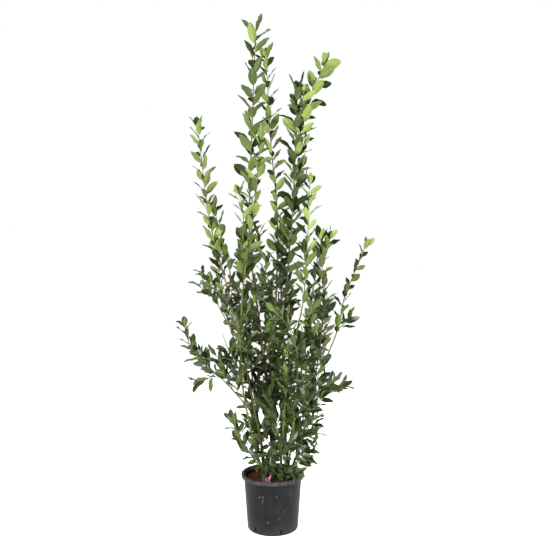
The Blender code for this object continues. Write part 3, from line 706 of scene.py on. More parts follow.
barks = {wood: bark(wood, WOOD_FOOT, colour, *BARK_HEIGHTS[wood]) for wood, colour in WOOD_COLOURS.items()}
stems = {}
for seed, (name, places) in enumerate(STEM_PLACES.items()):
    foot = (*STEM_FEET[name], SOIL_TOP)
    stem = Limb((foot, *places), STEM_RADII[name], FLARE)
    stem.wood = STEM_WOODS[name]
    stem.bare = stem.distance_at(LEAFY_FROM[name])
    stem.surface = bark_relief(stem, np.random.default_rng(100 + seed))
    shape = limb_shape(stem, -FOOT_DEPTH, stem.bare, BARK_ROW, BARK_COLUMNS, stem.surface)
    piece = new_piece(f"bark_{name}", [shape], [barks[stem.wood]])
    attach(piece, "root")
    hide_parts(f"stem_{name}")
    stems[name] = stem


# --- Boughs ---------------------------------------------------------------------------
# Side branches that leave the stems low down and carry the outer foliage: greener and
# slimmer than the stems, each swollen into a collar where it grows out of its parent.
BOUGH_RADIUS = 0.0032
COLLAR = 0.45                   # extra width where a bough leaves its stem
BOUGH_COLUMNS = 12

# The stem each leaves, the height where it does, the share of its length that is bare,
# and the places on the way to its tip
BOUGHS = {
    "left_fork": ("left", 1.03, 0.22,
                  ((-0.192, 0.005, 1.14), (-0.224, 0.025, 1.26), (-0.270, 0.050, 1.43))),
    "mid_left": ("left", 0.83, 0.38,
                 ((-0.217, 0.020, 0.93), (-0.281, 0.070, 1.045), (-0.325, 0.100, 1.135))),
    "low_left": ("left_inner", 0.56, 0.30,
                 ((-0.203, -0.115, 0.662), (-0.268, -0.125, 0.724), (-0.322, -0.135, 0.782),
                  (-0.354, -0.140, 0.836), (-0.373, -0.145, 0.910))),
    "far_right": ("right_outer", 0.66, 0.32,
                  ((0.252, 0.050, 0.765), (0.304, 0.090, 0.888), (0.330, 0.105, 1.01),
                   (0.389, 0.130, 1.150), (0.440, 0.140, 1.268))),
    "right_low": ("right_outer", 0.54, 0.30, ((0.230, 0.040, 0.595), (0.315, 0.055, 0.622))),
    "foot_left": ("left_inner", 0.265, 0.30,
                  ((-0.091, -0.068, 0.333), (-0.133, -0.085, 0.405), (-0.184, -0.095, 0.505))),
    "foot_right": ("right_outer", 0.245, 0.30, ((0.118, -0.012, 0.300), (0.178, -0.010, 0.336))),
    "back_reach_left": ("back_left", 0.58, 0.34,
                        ((-0.150, 0.220, 0.72), (-0.215, 0.300, 0.86), (-0.245, 0.340, 0.98))),
    "back_reach_right": ("back_right", 0.56, 0.34,
                         ((0.180, 0.225, 0.70), (0.235, 0.300, 0.83), (0.262, 0.335, 0.94))),
}


def limb_from(parent, height, places, start_radius):
    """A limb that starts on its parent's axis at a height, with a collar where it leaves."""
    foot, _ = parent.at(parent.distance_at(height))
    limb = Limb((foot, *places), start_radius, COLLAR)
    limb.wood = parent.wood
    return limb


# Boughs whose bark differs from that of their stem
BOUGH_WOODS = {"low_left": "olive", "foot_left": "olive"}

boughs = {}
for seed, (name, (parent, height, bare_share, places)) in enumerate(BOUGHS.items()):
    bough = limb_from(stems[parent], height, places, BOUGH_RADIUS)
    bough.wood = BOUGH_WOODS.get(name, bough.wood)
    bough.bare = bare_share * bough.length
    bough.surface = bark_relief(bough, np.random.default_rng(200 + seed))
    shape = limb_shape(bough, 0.0, bough.bare, BARK_ROW, BOUGH_COLUMNS, bough.surface)
    piece = new_piece(f"bark_bough_{name}", [shape], [barks[bough.wood]])
    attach(piece, "root")
    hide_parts(f"bough_{name}")
    boughs[name] = bough


# --- Young shoots and twigs -----------------------------------------------------------
# The green and reddish wood of the last years: each stem and bough runs on into a leafy
# shoot, side shoots leave the stems lower down, and short sprigs fill the crown between.
SIDE_RADIUS = 0.0026
SIDE_LENGTH = 0.34
SIDE_OUT = 0.52
SIDE_UP = 0.78
SIDE_BEND = (0.62, 0.42)        # how far out and up its middle is, as shares of its tip
SPRIG_RADIUS = 0.0019
SPRIG_REACH = (0.070, 0.125)
SPRIG_OUT = 0.62                # how far a sprig leans out, as a share of its reach
SPRIG_UP = 0.95                 # how far it runs on along its shoot
SPRIG_BEND = (0.62, 0.42)       # how far out and on its middle is
SPRIG_SHIFT = 0.02              # how far it may be moved along its shoot
SPRIG_LOWEST = 0.31
SPRIG_LOWEST_ON = {"left_inner": 0.58, "left": 0.55, "right_inner": 0.50}
SPRIG_CLEARANCE = 0.009         # least distance between a sprig and other wood
SPRIG_FREE_FROM = 0.018         # distance from its foot where that distance begins to count
SPRIG_STEP = 0.010
WOOD_STEP = 0.008
SPRIG_FREE_START = 0.03         # start of a leafy shoot that has no sprigs
SPRIG_LAST_SHARE = 0.8          # share of a leafy shoot that may have sprigs
SHOOT_ROW = 0.007
SHOOT_COLUMNS = 10
SPRIG_ROW = 0.010
SPRIG_COLUMNS = 6
REACH_SPARE = 0.008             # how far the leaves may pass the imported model's box
SHOOT_STUB = 0.016              # bare end of a shoot past its last leaf
TIP_LEAVES = 2                  # leaves crowded at a shoot's tip, beside the last one
# Shoots whose wood differs from the bark of their stem
SHOOT_WOODS = {"left": "tan"}

FORKS = {
    "right_tall": (1.715, ((0.138, 0.050, 1.815), (0.175, 0.070, 1.930), (0.240, 0.100, 2.095))),
    "right_outer": (1.160, ((0.236, -0.015, 1.210), (0.258, 0.000, 1.290))),
}
# The stem that each side shoot leaves, the height, and the share of its full length
SIDE_SHOOTS = (
    ("left_inner", 0.30, 0.7), ("right_inner", 0.34, 1.0), ("back_left", 0.30, 1.0),
    ("right_outer", 0.36, 1.0), ("left", 0.38, 1.0), ("back_right", 0.32, 1.0), ("arching", 0.50, 1.0),
    ("back_middle", 0.44, 1.0), ("left_inner", 0.74, 0.5), ("right_tall", 0.60, 1.0),
    ("leader", 0.64, 1.0), ("back_middle", 0.70, 1.0), ("right_inner", 0.74, 1.0),
    ("second", 0.80, 1.0), ("left", 0.68, 1.0),
)
# Slim shoots in front of the others: the stem each leaves, the height, and its places
FRONT_SHOOTS = {
    "front_red": ("leader", 0.924, ((-0.043, -0.120, 1.028), (-0.028, -0.200, 1.117),
                                    (-0.029, -0.220, 1.187))),
    "front_left": ("left_inner", 1.172, ((-0.123, -0.170, 1.242), (-0.121, -0.190, 1.365),
                                         (-0.138, -0.200, 1.459))),
}
# The masses of foliage, each made of the shoots that it is drawn with
MASSES = {
    "tall": ("leader", "second", "right_tall", "right_tall_fork"),
    "left": ("left", "left_fork", "mid_left", "low_left", "foot_left"),
    "front": ("left_inner", "right_inner", "arching", "front_red", "front_left"),
    "right": ("right_outer", "right_outer_fork", "far_right", "right_low", "foot_right"),
    "back": ("back_left", "back_middle", "back_right", "back_reach_left", "back_reach_right"),
    "side": tuple(f"side_{number + 1}" for number in range(len(SIDE_SHOOTS))),
}
# Sprigs set one by one: the shoot each leaves, the height, the bearing from the front in
# degrees, how far it rises for each metre out, and its reach.  Most hang over the soil.
SET_SPRIGS = (
    ("far_right", 0.870, 60.0, 0.0, 0.060),
    ("low_left", 0.600, 30.0, 2.5, 0.085), ("low_left", 0.622, -20.0, 2.0, 0.080),
    ("right_tall", 1.640, 80.0, 0.5, 0.070), ("right_tall", 1.700, 60.0, 0.5, 0.065),
    ("right_tall", 1.550, 90.0, 0.3, 0.060),
    ("low_left", 0.640, 20.0, 1.2, 0.070), ("low_left", 0.720, -160.0, 1.0, 0.070),
    ("low_left", 0.700, -60.0, -1.8, 0.060), ("right_tall", 1.870, 70.0, 0.2, 0.050),
    ("right_outer", 0.520, 75.0, 0.0, 0.100), ("right_outer", 0.560, 30.0, 0.0, 0.095),
    ("left_inner", 0.268, 42.0, -1.0, 0.085), ("right_inner", 0.262, -28.0, -1.2, 0.080),
    ("right_inner", 0.264, 22.0, -1.2, 0.085), ("right_inner", 0.280, -70.0, -0.8, 0.075),
    ("leader", 0.290, 14.0, -0.7, 0.105), ("leader", 0.284, -24.0, -0.7, 0.095),
    ("left_inner", 0.300, 5.0, -0.6, 0.080), ("arching", 0.262, 35.0, -1.1, 0.080),
    ("arching", 0.276, -20.0, -0.9, 0.085),
    ("right_inner", 0.315, 0.0, -0.5, 0.085), ("arching", 0.315, 70.0, -0.5, 0.085),
    ("right_outer", 0.300, 60.0, -0.2, 0.085), ("right_outer", 0.275, 35.0, -0.7, 0.085),
    ("right_inner", 0.335, 30.0, 0.0, 0.095), ("leader", 0.350, -30.0, 0.0, 0.100),
    ("second", 0.300, 100.0, -0.3, 0.085), ("back_middle", 0.290, 170.0, -0.3, 0.085),
    ("back_left", 0.290, -140.0, -0.3, 0.085), ("back_right", 0.290, 130.0, -0.3, 0.085),
)
# Sprigs for each metre of a stem's bare wood and of its leafy shoot
SPRIGS_ON_BARE = 18.0
SPRIGS_ON_SHOOT = 7.0
SPRIGS_ON = {"low_left": 10.0, "mid_left": 14.0, "left_fork": 14.0}
SPRIG_HIGHEST = {"tall": 1.34, "left": 1.24, "front": 1.24, "right": 1.10, "back": 1.22, "side": 1.22}
SPRIG_HIGHEST_ON = {
    "right_tall": 1.78, "far_right": 0.0, "foot_left": 0.0, "left": 1.16, "left_fork": 1.24,
    "leader": 1.24,
}
# Openings where the crown lets the light through, as seen from in front: left, right, bottom
# and top, on the upright plane through the pot's middle
OPENINGS = (
    (-0.350, -0.228, 0.815, 1.005), (-0.225, -0.195, 0.800, 0.855), (-0.048, -0.013, 1.370, 1.585),
    (0.262, 0.313, 1.070, 1.250), (-0.370, -0.315, 1.175, 1.335), (-0.216, -0.165, 1.235, 1.350),
    (-0.300, -0.210, 0.290, 0.445), (-0.210, -0.140, 0.255, 0.345), (-0.270, -0.190, 0.805, 0.905),
    (0.250, 0.330, 0.350, 0.560), (-0.066, -0.039, 0.416, 0.540), (0.014, 0.034, 0.438, 0.571),
)
VIEW_DISTANCE = 2.70            # from the pot's middle to the place it is seen from
VIEW_MIDDLE = (0.0165, 1.111)   # across and up, of that place


def mass_of(name):
    """The mass of foliage that a shoot belongs to."""
    return next(mass for mass, shoots in MASSES.items() if name in shoots)


def young_wood(name, colour):
    """Smooth young bark in one colour, faintly grained."""
    material, tree, shader = new_material(f"young_wood_{name}")
    shader.inputs["Base Color"].default_value = linear(colour)
    shader.inputs["Roughness"].default_value = 0.55
    dent(tree, shader, 0.3, 0.0004, noise(tree, object_place(tree), scale=350.0, detail=3.0))
    return material


def plain_surface(limb):
    """A limb's surface as its taper alone."""
    return lambda distances, angles: limb.radius(distances) + 0.0 * angles


def leafy_shoot(name, limb, start, surface):
    """Names a limb as a shoot that bears leaves from a distance on."""
    limb.mass = mass_of(name)
    limb.first = start
    limb.surface = surface
    limb.wood = SHOOT_WOODS.get(name, limb.wood)
    limb.stub = SHOOT_STUB
    limb.tip_leaves = TIP_LEAVES
    return limb


shoots = {}
for name, limb in (*stems.items(), *boughs.items()):
    shoots[name] = leafy_shoot(name, limb, limb.bare - JOINT_OVERLAP, limb.surface)
for name, (parent, height, places) in FRONT_SHOOTS.items():
    limb = limb_from(stems[parent], height, places, SIDE_RADIUS)
    shoots[name] = leafy_shoot(name, limb, 0.0, plain_surface(limb))
for number, (parent, height, share) in enumerate(SIDE_SHOOTS):
    stem = stems[parent]
    foot, _ = stem.at(stem.distance_at(height))
    low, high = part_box(f"leaves_side_{number + 1}")
    bearing = math.atan2((low.y + high.y) / 2 - foot[1], (low.x + high.x) / 2 - foot[0])
    outward = np.array((math.cos(bearing), math.sin(bearing), 0.0))
    up = np.array((0.0, 0.0, 1.0))
    middle = foot + share * SIDE_LENGTH * (SIDE_BEND[0] * SIDE_OUT * outward + SIDE_BEND[1] * SIDE_UP * up)
    tip = foot + share * SIDE_LENGTH * (SIDE_OUT * outward + SIDE_UP * up)
    limb = limb_from(stem, height, (middle, tip), SIDE_RADIUS)
    shoots[f"side_{number + 1}"] = leafy_shoot(f"side_{number + 1}", limb, 0.0, plain_surface(limb))
for parent, (height, places) in FORKS.items():
    limb = limb_from(stems[parent], height, places, SIDE_RADIUS)
    shoots[f"{parent}_fork"] = leafy_shoot(f"{parent}_fork", limb, 0.0, plain_surface(limb))

wood_points = np.vstack([limb.at(np.arange(0.0, limb.length, WOOD_STEP))[0] for limb in shoots.values()])


def in_opening(points):
    """Whether each point is in an opening of the crown, as seen from in front of its middle."""
    scale = VIEW_DISTANCE / (VIEW_DISTANCE + points[..., 1])
    across = VIEW_MIDDLE[0] + (points[..., 0] - VIEW_MIDDLE[0]) * scale
    up = VIEW_MIDDLE[1] + (points[..., 2] - VIEW_MIDDLE[1]) * scale
    within = [(across > left) & (across < right) & (up > low) & (up < high)
              for left, right, low, high in OPENINGS]
    return np.any(within, axis=0)


reach_low = np.array(cad_low) - REACH_SPARE
reach_high = np.array(cad_high) + REACH_SPARE
sprig_luck = np.random.default_rng(357)
sprigs = []


def sprig_from(limb, distance, outward, reach):
    """A short sprig that leans out from a limb and curves up along it."""
    foot, forward = limb.at(distance)
    middle = foot + reach * (SPRIG_BEND[1] * forward + SPRIG_BEND[0] * SPRIG_OUT * outward)
    tip = foot + reach * (SPRIG_UP * forward + SPRIG_OUT * outward)
    sprig = Limb((foot, middle, tip), SPRIG_RADIUS, COLLAR)
    sprig.wood, sprig.mass, sprig.first = limb.wood, limb.mass, 0.0
    sprig.surface = plain_surface(sprig)
    return sprig


def sprigs_along(limb, start, stop, each_metre, wood):
    """Sprigs on a stretch of a limb, each turned on from the last by the leaves' angle.

    One is left out where it would meet other wood or leave the crown.
    """
    grown = []
    count = round((stop - start) * each_metre)
    turn = sprig_luck.uniform(0.0, math.tau)
    shifts = sprig_luck.uniform(-SPRIG_SHIFT, SPRIG_SHIFT, count)
    for distance in np.linspace(start, stop, count + 2)[1:-1] + shifts:
        _, forward = limb.at(distance)
        side, other = square_to(forward[None])
        turn += LEAF_TURN
        outward = (math.cos(turn) * side + math.sin(turn) * other)[0]
        sprig = sprig_from(limb, distance, outward, sprig_luck.uniform(*SPRIG_REACH))
        points, _ = sprig.at(np.arange(SPRIG_FREE_FROM, sprig.length, SPRIG_STEP))
        tip = sprig.route[-1]
        nearest = np.linalg.norm(points[:, None] - wood, axis=-1).min()
        inside = (tip > reach_low).all() and (tip < reach_high).all() and not in_opening(tip)
        if nearest > SPRIG_CLEARANCE and inside:
            grown.append(sprig)
            wood = np.vstack((wood, points))
    return grown, wood


for name, limb in shoots.items():
    if name in stems:
        lowest = limb.distance_at(SPRIG_LOWEST_ON.get(name, SPRIG_LOWEST))
        grown, wood_points = sprigs_along(limb, lowest, limb.bare, SPRIGS_ON_BARE, wood_points)
        sprigs += grown
    highest = SPRIG_HIGHEST_ON.get(name, SPRIG_HIGHEST[limb.mass])
    start = limb.first + SPRIG_FREE_START
    stop = min(limb.distance_at(highest), SPRIG_LAST_SHARE * limb.length)
    if stop > start:
        each_metre = SPRIGS_ON.get(name, SPRIGS_ON_SHOOT)
        grown, wood_points = sprigs_along(limb, start, stop, each_metre, wood_points)
        sprigs += grown
for name, height, bearing, lean, reach in SET_SPRIGS:
    limb = shoots[name]
    outward = np.array((math.sin(math.radians(bearing)), -math.cos(math.radians(bearing)), lean))
    sprigs.append(sprig_from(limb, limb.distance_at(height), outward, reach))

woods = {name: young_wood(name, colour) for name, colour in WOOD_COLOURS.items()}
wood_numbers = {name: number for number, name in enumerate(woods)}
for mass in MASSES:
    grown = [limb for limb in shoots.values() if limb.mass == mass]
    shapes = [limb_shape(limb, limb.first, limb.length, SHOOT_ROW, SHOOT_COLUMNS, limb.surface)
              for limb in grown]
    piece = new_piece(f"shoots_{mass}", shapes, list(woods.values()),
                      [wood_numbers[limb.wood] for limb in grown])
    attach(piece, "root")
    grown = [sprig for sprig in sprigs if sprig.mass == mass]
    shapes = [limb_shape(sprig, 0.0, sprig.length, SPRIG_ROW, SPRIG_COLUMNS, sprig.surface)
              for sprig in grown]
    piece = new_piece(f"twigs_{mass}", shapes, list(woods.values()),
                      [wood_numbers[sprig.wood] for sprig in grown])
    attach(piece, "root")


# --- Leaves ---------------------------------------------------------------------------
# Leathery evergreen leaves on short stalks, in a spiral round every shoot and twig: long
# oval blades with a wavy edge and a pale midrib, glossy above and paler and matt beneath.
# Spacing, length, width as a share of the length, and degrees between a leaf and its shoot
LEAF_HABIT = (0.021, 0.088, 0.36, 40.0)
SPRIG_HABIT = (0.0155, 0.078, 0.35, 38.0)
# Shoots whose leaves are larger, smaller or rounder than that
LEAF_HABITS = {
    "leader": (0.019, 0.102, 0.41, 44.0), "second": (0.018, 0.090, 0.39, 44.0),
    "left": (0.016, 0.088, 0.38, 40.0), "right_tall": (0.017, 0.106, 0.40, 44.0),
    "right_tall_fork": (0.019, 0.092, 0.46, 52.0), "far_right": (0.021, 0.072, 0.42, 38.0),
    "right_outer": (0.018, 0.090, 0.38, 40.0), "right_outer_fork": (0.018, 0.086, 0.40, 40.0),
    "foot_left": (0.024, 0.076, 0.38, 42.0), "foot_right": (0.012, 0.080, 0.36, 56.0),
    "low_left": (0.016, 0.076, 0.38, 42.0), "mid_left": (0.013, 0.068, 0.42, 36.0),
}
# Lower down, leaves are smaller: height, and share of their full length
SMALL_HEIGHTS = (0.25, 0.55, 1.00, 1.45, 1.70)
SMALL_SHARES = (0.87, 0.91, 0.89, 0.92, 1.04)
ASPECT_RANGE = 0.14             # how far a leaf's width may differ, as a share of it
SPREAD_RANGE = 12.0             # degrees that a leaf's spread may differ
LEAF_SPREAD_LOST = 6.0
LEAF_SIZES = (0.78, 1.12)
LEAF_ROLL = 0.60                # radians, how far a blade turns on its stalk
TIP_LEAF_SPREAD = 26.0
FIRST_LEAF = 0.018
STALK_SHARE = 0.08              # share of the length that is stalk
STALK_HALF_WIDTH = 0.0010
RIB_HALF_WIDTH = 0.0008
LEAF_THICKNESS = 0.0005
RIB_DEPTH = 0.0006
LEAF_ROWS = np.array([0.08, 0.18, 0.31, 0.46, 0.61, 0.76, 0.90])
LEAF_DODGES = np.array([0.0, 0.35, -0.35, 0.7, -0.7, 1.1, -1.1, 2.2, -2.2])
LEAF_CLEARANCE = 0.012          # distance past which a leaf has room enough
LEAF_NEIGHBOURS = 0.10          # how far off things can be in its way
LEAF_SAMPLES = np.array([0.45, 0.72, 1.0])[:, None]   # shares of its length that are tried
TURN_RANGE = 0.25               # radians that its turn round the shoot may differ
TIP_LEAF_SMALLER = 0.14
LEAF_FOLDS = (6.0, 28.0)        # degrees, the V of a blade
LEAF_BEND = (12.0, 16.0)        # degrees, usual and how far it differs
FLATTEST_BEND = 0.02
LEAF_TWIST = 0.25
FOLD_SHARE = 0.8
EDGE_WAVES = 13.0               # radians of wave along the edge
EDGE_WAVE = 0.0026
MIDRIB_PALES = {"upper": 0.34, "lower": 0.48}   # share of pale colour in a midrib

# Leaf colours from the youngest growth to the oldest, then two that are rare: upper side,
# lower side.  The young tints' pale lower sides are partly painted light, for light shining
# through the upper leaves.
LEAF_TINTS = {
    "young": ((42, 65, 17), (170, 191, 102)),
    "fresh": ((42, 65, 17), (154, 176, 91)),
    "grown": ((42, 63, 18), (123, 143, 74)),
    "deep": ((39, 57, 17), (99, 116, 61)),
    "dark": ((43, 61, 21), (96, 111, 60)),
    "oldest": ((62, 81, 36), (113, 128, 75)),
    "bright": ((92, 122, 40), (116, 146, 50)),
    "yellow": ((196, 176, 40), (206, 190, 78)),
}
RIB_COLOUR = (208, 210, 160)
# Height and the number of the tint that is commonest there: younger and paler high up, older
# and darker low down, where the darker tints are partly painted shade between the leaves.
TINT_HEIGHTS = (0.30, 0.60, 0.90, 1.10, 1.28, 1.70, 2.00)
TINT_NUMBERS = (5.0, 4.5, 4.0, 3.1, 1.3, 1.4, 1.3)
OLDER_LEAVES = {"far_right": 2.0}  # tints older than others at that height
TINT_OF_SPRAY = 0.7             # how much the tint differs from spray to spray
TINT_OF_LEAF = 0.6
OLDEST_TINT = 5
BRIGHT_TINT = 6
BRIGHT_SHARE = 0.030
BRIGHT_LOWEST = 0.60
YELLOW_TINT = 7
# Leaves that stand out in each mass: the place of the blade's middle, its tint, and its
# length as a share of what it would have been
MARKED_LEAVES = {
    "front": (((0.031, -0.210, 0.800), YELLOW_TINT, 0.70), ((-0.051, -0.180, 1.035), BRIGHT_TINT, 1.15),
              ((0.121, -0.180, 0.900), BRIGHT_TINT, 1.05), ((0.072, -0.200, 0.743), BRIGHT_TINT, 1.10)),
    "right": (((0.303, 0.080, 0.967), BRIGHT_TINT, 1.25), ((0.357, 0.080, 0.939), BRIGHT_TINT, 1.25)),
}

leaf_luck = np.random.default_rng(299)


def room_for(samples, taken):
    """How far each option's sample points keep from the points that are taken.

    It is less than nothing for an option that leaves the crown or crosses an opening in it.
    """
    near = taken[np.linalg.norm(taken - samples[0, 0], axis=1) < LEAF_NEIGHBOURS]
    apart = np.linalg.norm(samples[:, :, None] - near, axis=-1)
    room = np.minimum(apart.min(axis=(1, 2), initial=LEAF_CLEARANCE), LEAF_CLEARANCE)
    within = ((samples > reach_low) & (samples < reach_high)).all(axis=(1, 2))
    over_rim = np.hypot(samples[..., 0], samples[..., 1]) > MOUTH_RADIUS - LEAF_CLEARANCE
    floor_below = np.where(over_rim, POT_HEIGHT, SOIL_TOP) + LEAF_CLEARANCE
    within &= (samples[..., 2] > floor_below).all(axis=1)
    return np.where(within & ~in_opening(samples).any(axis=1), room, -1.0)


def grown_leaves(limb, habit, older, taken):
    """Leaves in a spiral along a limb to its tip, closing in toward the tip.

    Each turns on from the last by the golden angle.  Of some bearings near that one it takes
    the first that leaves most room round it.  A leaf is a row of its base, direction, upper
    side, length, width as a share of the length, and tint, some tints older than is usual.
    """
    spacing, length, aspect, usual_spread = habit
    start = limb.first + FIRST_LEAF
    count = max(2, round((limb.length - start) / spacing))
    share = np.append(np.arange(count) / count, np.ones(limb.tip_leaves + 1))
    count = len(share)
    distances = start + (limb.length - start - limb.stub) * share
    feet, forward = limb.at(distances)
    side, other = square_to(forward)
    bearings = leaf_luck.uniform(0.0, math.tau) + np.cumsum(
        LEAF_TURN + leaf_luck.uniform(-TURN_RANGE, TURN_RANGE, count))
    spread = usual_spread + leaf_luck.uniform(-SPREAD_RANGE, SPREAD_RANGE, count)
    spread = np.radians(spread - LEAF_SPREAD_LOST * share ** 3)
    spread[share == 1.0] = math.radians(TIP_LEAF_SPREAD)
    sizes = length * leaf_luck.uniform(*LEAF_SIZES, count) * (1.0 - TIP_LEAF_SMALLER * share ** 4)
    sizes *= np.interp(feet[:, 2], SMALL_HEIGHTS, SMALL_SHARES)
    aspects = aspect * leaf_luck.uniform(1 - ASPECT_RANGE, 1 + ASPECT_RANGE, count)
    # Tint by height: partly the leaves' age, partly painted light, paler high up and darker as painted
    # shade low in the crown.
    tints = older + np.interp(feet[:, 2], TINT_HEIGHTS, TINT_NUMBERS)
    tints += leaf_luck.normal(0.0, TINT_OF_SPRAY) + leaf_luck.normal(0.0, TINT_OF_LEAF, count)
    tints = np.clip(np.round(tints), 0, OLDEST_TINT)
    bright = leaf_luck.uniform(0.0, 1.0, count) < BRIGHT_SHARE
    tints[bright & (feet[:, 2] > BRIGHT_LOWEST)] = BRIGHT_TINT
    radii = limb.radius(distances)
    rows, added = [], []
    for index in range(count):
        options = (bearings[index] + LEAF_DODGES)[:, None]
        outward = np.cos(options) * side[index] + np.sin(options) * other[index]
        direction = forward[index] * math.cos(spread[index]) + outward * math.sin(spread[index])
        upper = forward[index] * math.sin(spread[index]) - outward * math.cos(spread[index])
        base = feet[index] + outward * radii[index] * 0.5
        samples = base[:, None] + direction[:, None] * sizes[index] * LEAF_SAMPLES
        room = room_for(samples, taken)
        best = int(np.argmax(room))
        if room[best] < 0.0:
            continue
        added.append(samples[best])
        rows.append((*base[best], *direction[best], *upper[best], sizes[index], aspects[index],
                     tints[index]))
    return np.array(rows).reshape(-1, 12), np.array(added).reshape(-1, 3)


def leaf_side(name, colour, roughness, gloss, vein_depth):
    """One side of a leaf: a plain colour with slanting side veins pressed into it."""
    material, tree, shader = new_material(name)
    shader.inputs["Base Color"].default_value = linear(colour)
    shader.inputs["Roughness"].default_value = roughness
    shader.inputs["Specular IOR Level"].default_value = gloss
    across = node(tree, "UVMap", {}, uv_map="blade").outputs["UV"]
    slanted = node(tree, "Mapping", {"Vector": across, "Rotation": (0.0, 0.0, math.radians(35.0))})
    veins = node(tree, "TexWave", {"Vector": slanted.outputs[0], "Scale": 2.4, "Distortion": 0.6,
                                   "Detail": 0.0}, wave_type="BANDS", bands_direction="Y")
    dent(tree, shader, vein_depth, 0.0004, veins.outputs["Fac"])
    return material


def leaf_shapes(rows, luck):
    """Blades for rows of leaves, with the UV of their points.

    A blade is a flat closed tube with six points in a ring: the edges and the midrib's sides
    on top, and the midrib's sides below.  Its half width at a share b of the blade grows as b
    to the 0.72 times (1 - b) to the 0.80.  The sides rise from the midrib in a shallow V, the
    edge waves, and the whole blade bends back along its length and twists a little.
    """
    base, direction, upper, length = rows[:, 0:3], rows[:, 3:6], rows[:, 6:9], rows[:, 9]
    count = len(rows)
    width = length * rows[:, 10]
    roll = luck.normal(0.0, LEAF_ROLL, count)
    fold = np.tan(np.radians(luck.uniform(*LEAF_FOLDS, count)))
    bend = np.radians(luck.normal(*LEAF_BEND, count))
    bend = np.where(np.abs(bend) < FLATTEST_BEND, FLATTEST_BEND, bend)
    twist = luck.normal(0.0, LEAF_TWIST, count)
    phase = luck.uniform(0.0, math.tau, (count, 2))
    side = np.cross(direction, upper)
    upper = upper * np.cos(roll)[:, None] + side * np.sin(roll)[:, None]
    side = np.cross(direction, upper)

    t = np.concatenate(([0.0], LEAF_ROWS, [1.0]))
    blade = np.clip((t - STALK_SHARE) / (1 - STALK_SHARE), 0.0, 1.0)
    outline = blade ** 0.72 * (1 - blade) ** 0.80
    outline /= outline.max()
    half = np.maximum(outline * width[:, None] / 2, STALK_HALF_WIDTH)
    angle = bend[:, None] * t
    along = length[:, None] * np.sin(angle) / bend[:, None]
    sink = length[:, None] * (1 - np.cos(angle)) / bend[:, None]
    centre = base[:, None] + along[..., None] * direction[:, None] - sink[..., None] * upper[:, None]
    lift = upper[:, None] * np.cos(angle)[..., None] + direction[:, None] * np.sin(angle)[..., None]
    turned_by = (twist[:, None] * t)[..., None]
    sideways = side[:, None] * np.cos(turned_by) + lift * np.sin(turned_by)
    lift = lift * np.cos(turned_by) - side[:, None] * np.sin(turned_by)

    rib = np.minimum(RIB_HALF_WIDTH / half, 0.45)
    one = np.ones_like(rib)
    across = np.stack((-one, -rib, rib, one, rib, -rib), axis=-1)
    below = np.array([0, 0, 0, 0, 1, 1]) * (LEAF_THICKNESS + RIB_DEPTH)
    reach = across * half[..., None]
    phases = np.where(across < 0, phase[:, None, :1], phase[:, None, 1:])
    wave = EDGE_WAVE * np.sin(EDGE_WAVES * t[:, None] + phases) * across ** 2 * outline[:, None]
    height = FOLD_SHARE * fold[:, None, None] * np.abs(reach) + wave - below
    points = (centre[:, :, None] + reach[..., None] * sideways[:, :, None]
              + height[..., None] * lift[:, :, None])
    places, quads, triangles = closed_tubes(points[:, 1:-1], centre[:, 0], centre[:, -1])
    # A four-sided face is split from its first corner, so the lower side's faces start at
    # another one: both sides are then split alike and never cross.
    quads = quads.reshape(-1, 6, 4)
    quads[:, 3:] = np.roll(quads[:, 3:], -1, axis=-1)
    ring_uv = np.stack((across * outline[:, None] * 0.5, np.broadcast_to(t[:, None], across.shape)),
                       axis=-1)
    uv = np.concatenate((ring_uv[:, 1:-1].reshape(count, -1, 2), np.zeros((count, 1, 2)),
                         np.tile((0.0, 1.0), (count, 1, 1))), axis=1)
    return (places, quads.reshape(-1, 4), triangles), uv.reshape(-1, 2)


leaves = {mass: [] for mass in MASSES}
taken = wood_points
for name, limb in (*shoots.items(), *(("sprig", sprig) for sprig in sprigs)):
    habit = SPRIG_HABIT if name == "sprig" else LEAF_HABITS.get(name, LEAF_HABIT)
    rows, samples = grown_leaves(limb, habit, OLDER_LEAVES.get(name, 0.0), taken)
    leaves[limb.mass].append(rows)
    taken = np.vstack((taken, samples))

leaf_materials = []
for name, (upper_colour, lower_colour) in LEAF_TINTS.items():
    for side, colour, roughness, gloss in (("upper", upper_colour, 0.33, 0.45),
                                           ("lower", lower_colour, 0.55, 0.30)):
        pale_share = MIDRIB_PALES[side]
        rib_colour = tuple((1 - pale_share) * leaf + pale_share * pale
                           for leaf, pale in zip(colour, RIB_COLOUR))
        leaf_materials += [leaf_side(f"leaf_{name}_{side}", colour, roughness, gloss, 0.05),
                           leaf_side(f"leaf_{name}_{side}_midrib", rib_colour, 0.50, gloss, 0.02)]
UPPER, UPPER_RIB, LOWER, LOWER_RIB = 0, 1, 2, 3
COLUMN_KINDS = np.array([UPPER, UPPER_RIB, UPPER, LOWER, LOWER_RIB, LOWER])
# The materials of a blade's faces: the four-sided ones, then the fan at the stalk and at the tip
BLADE_KINDS = np.concatenate((np.tile(COLUMN_KINDS, len(LEAF_ROWS) - 1),
                              np.full(len(COLUMN_KINDS), LOWER_RIB), COLUMN_KINDS))
QUADS_IN_BLADE = len(COLUMN_KINDS) * (len(LEAF_ROWS) - 1)

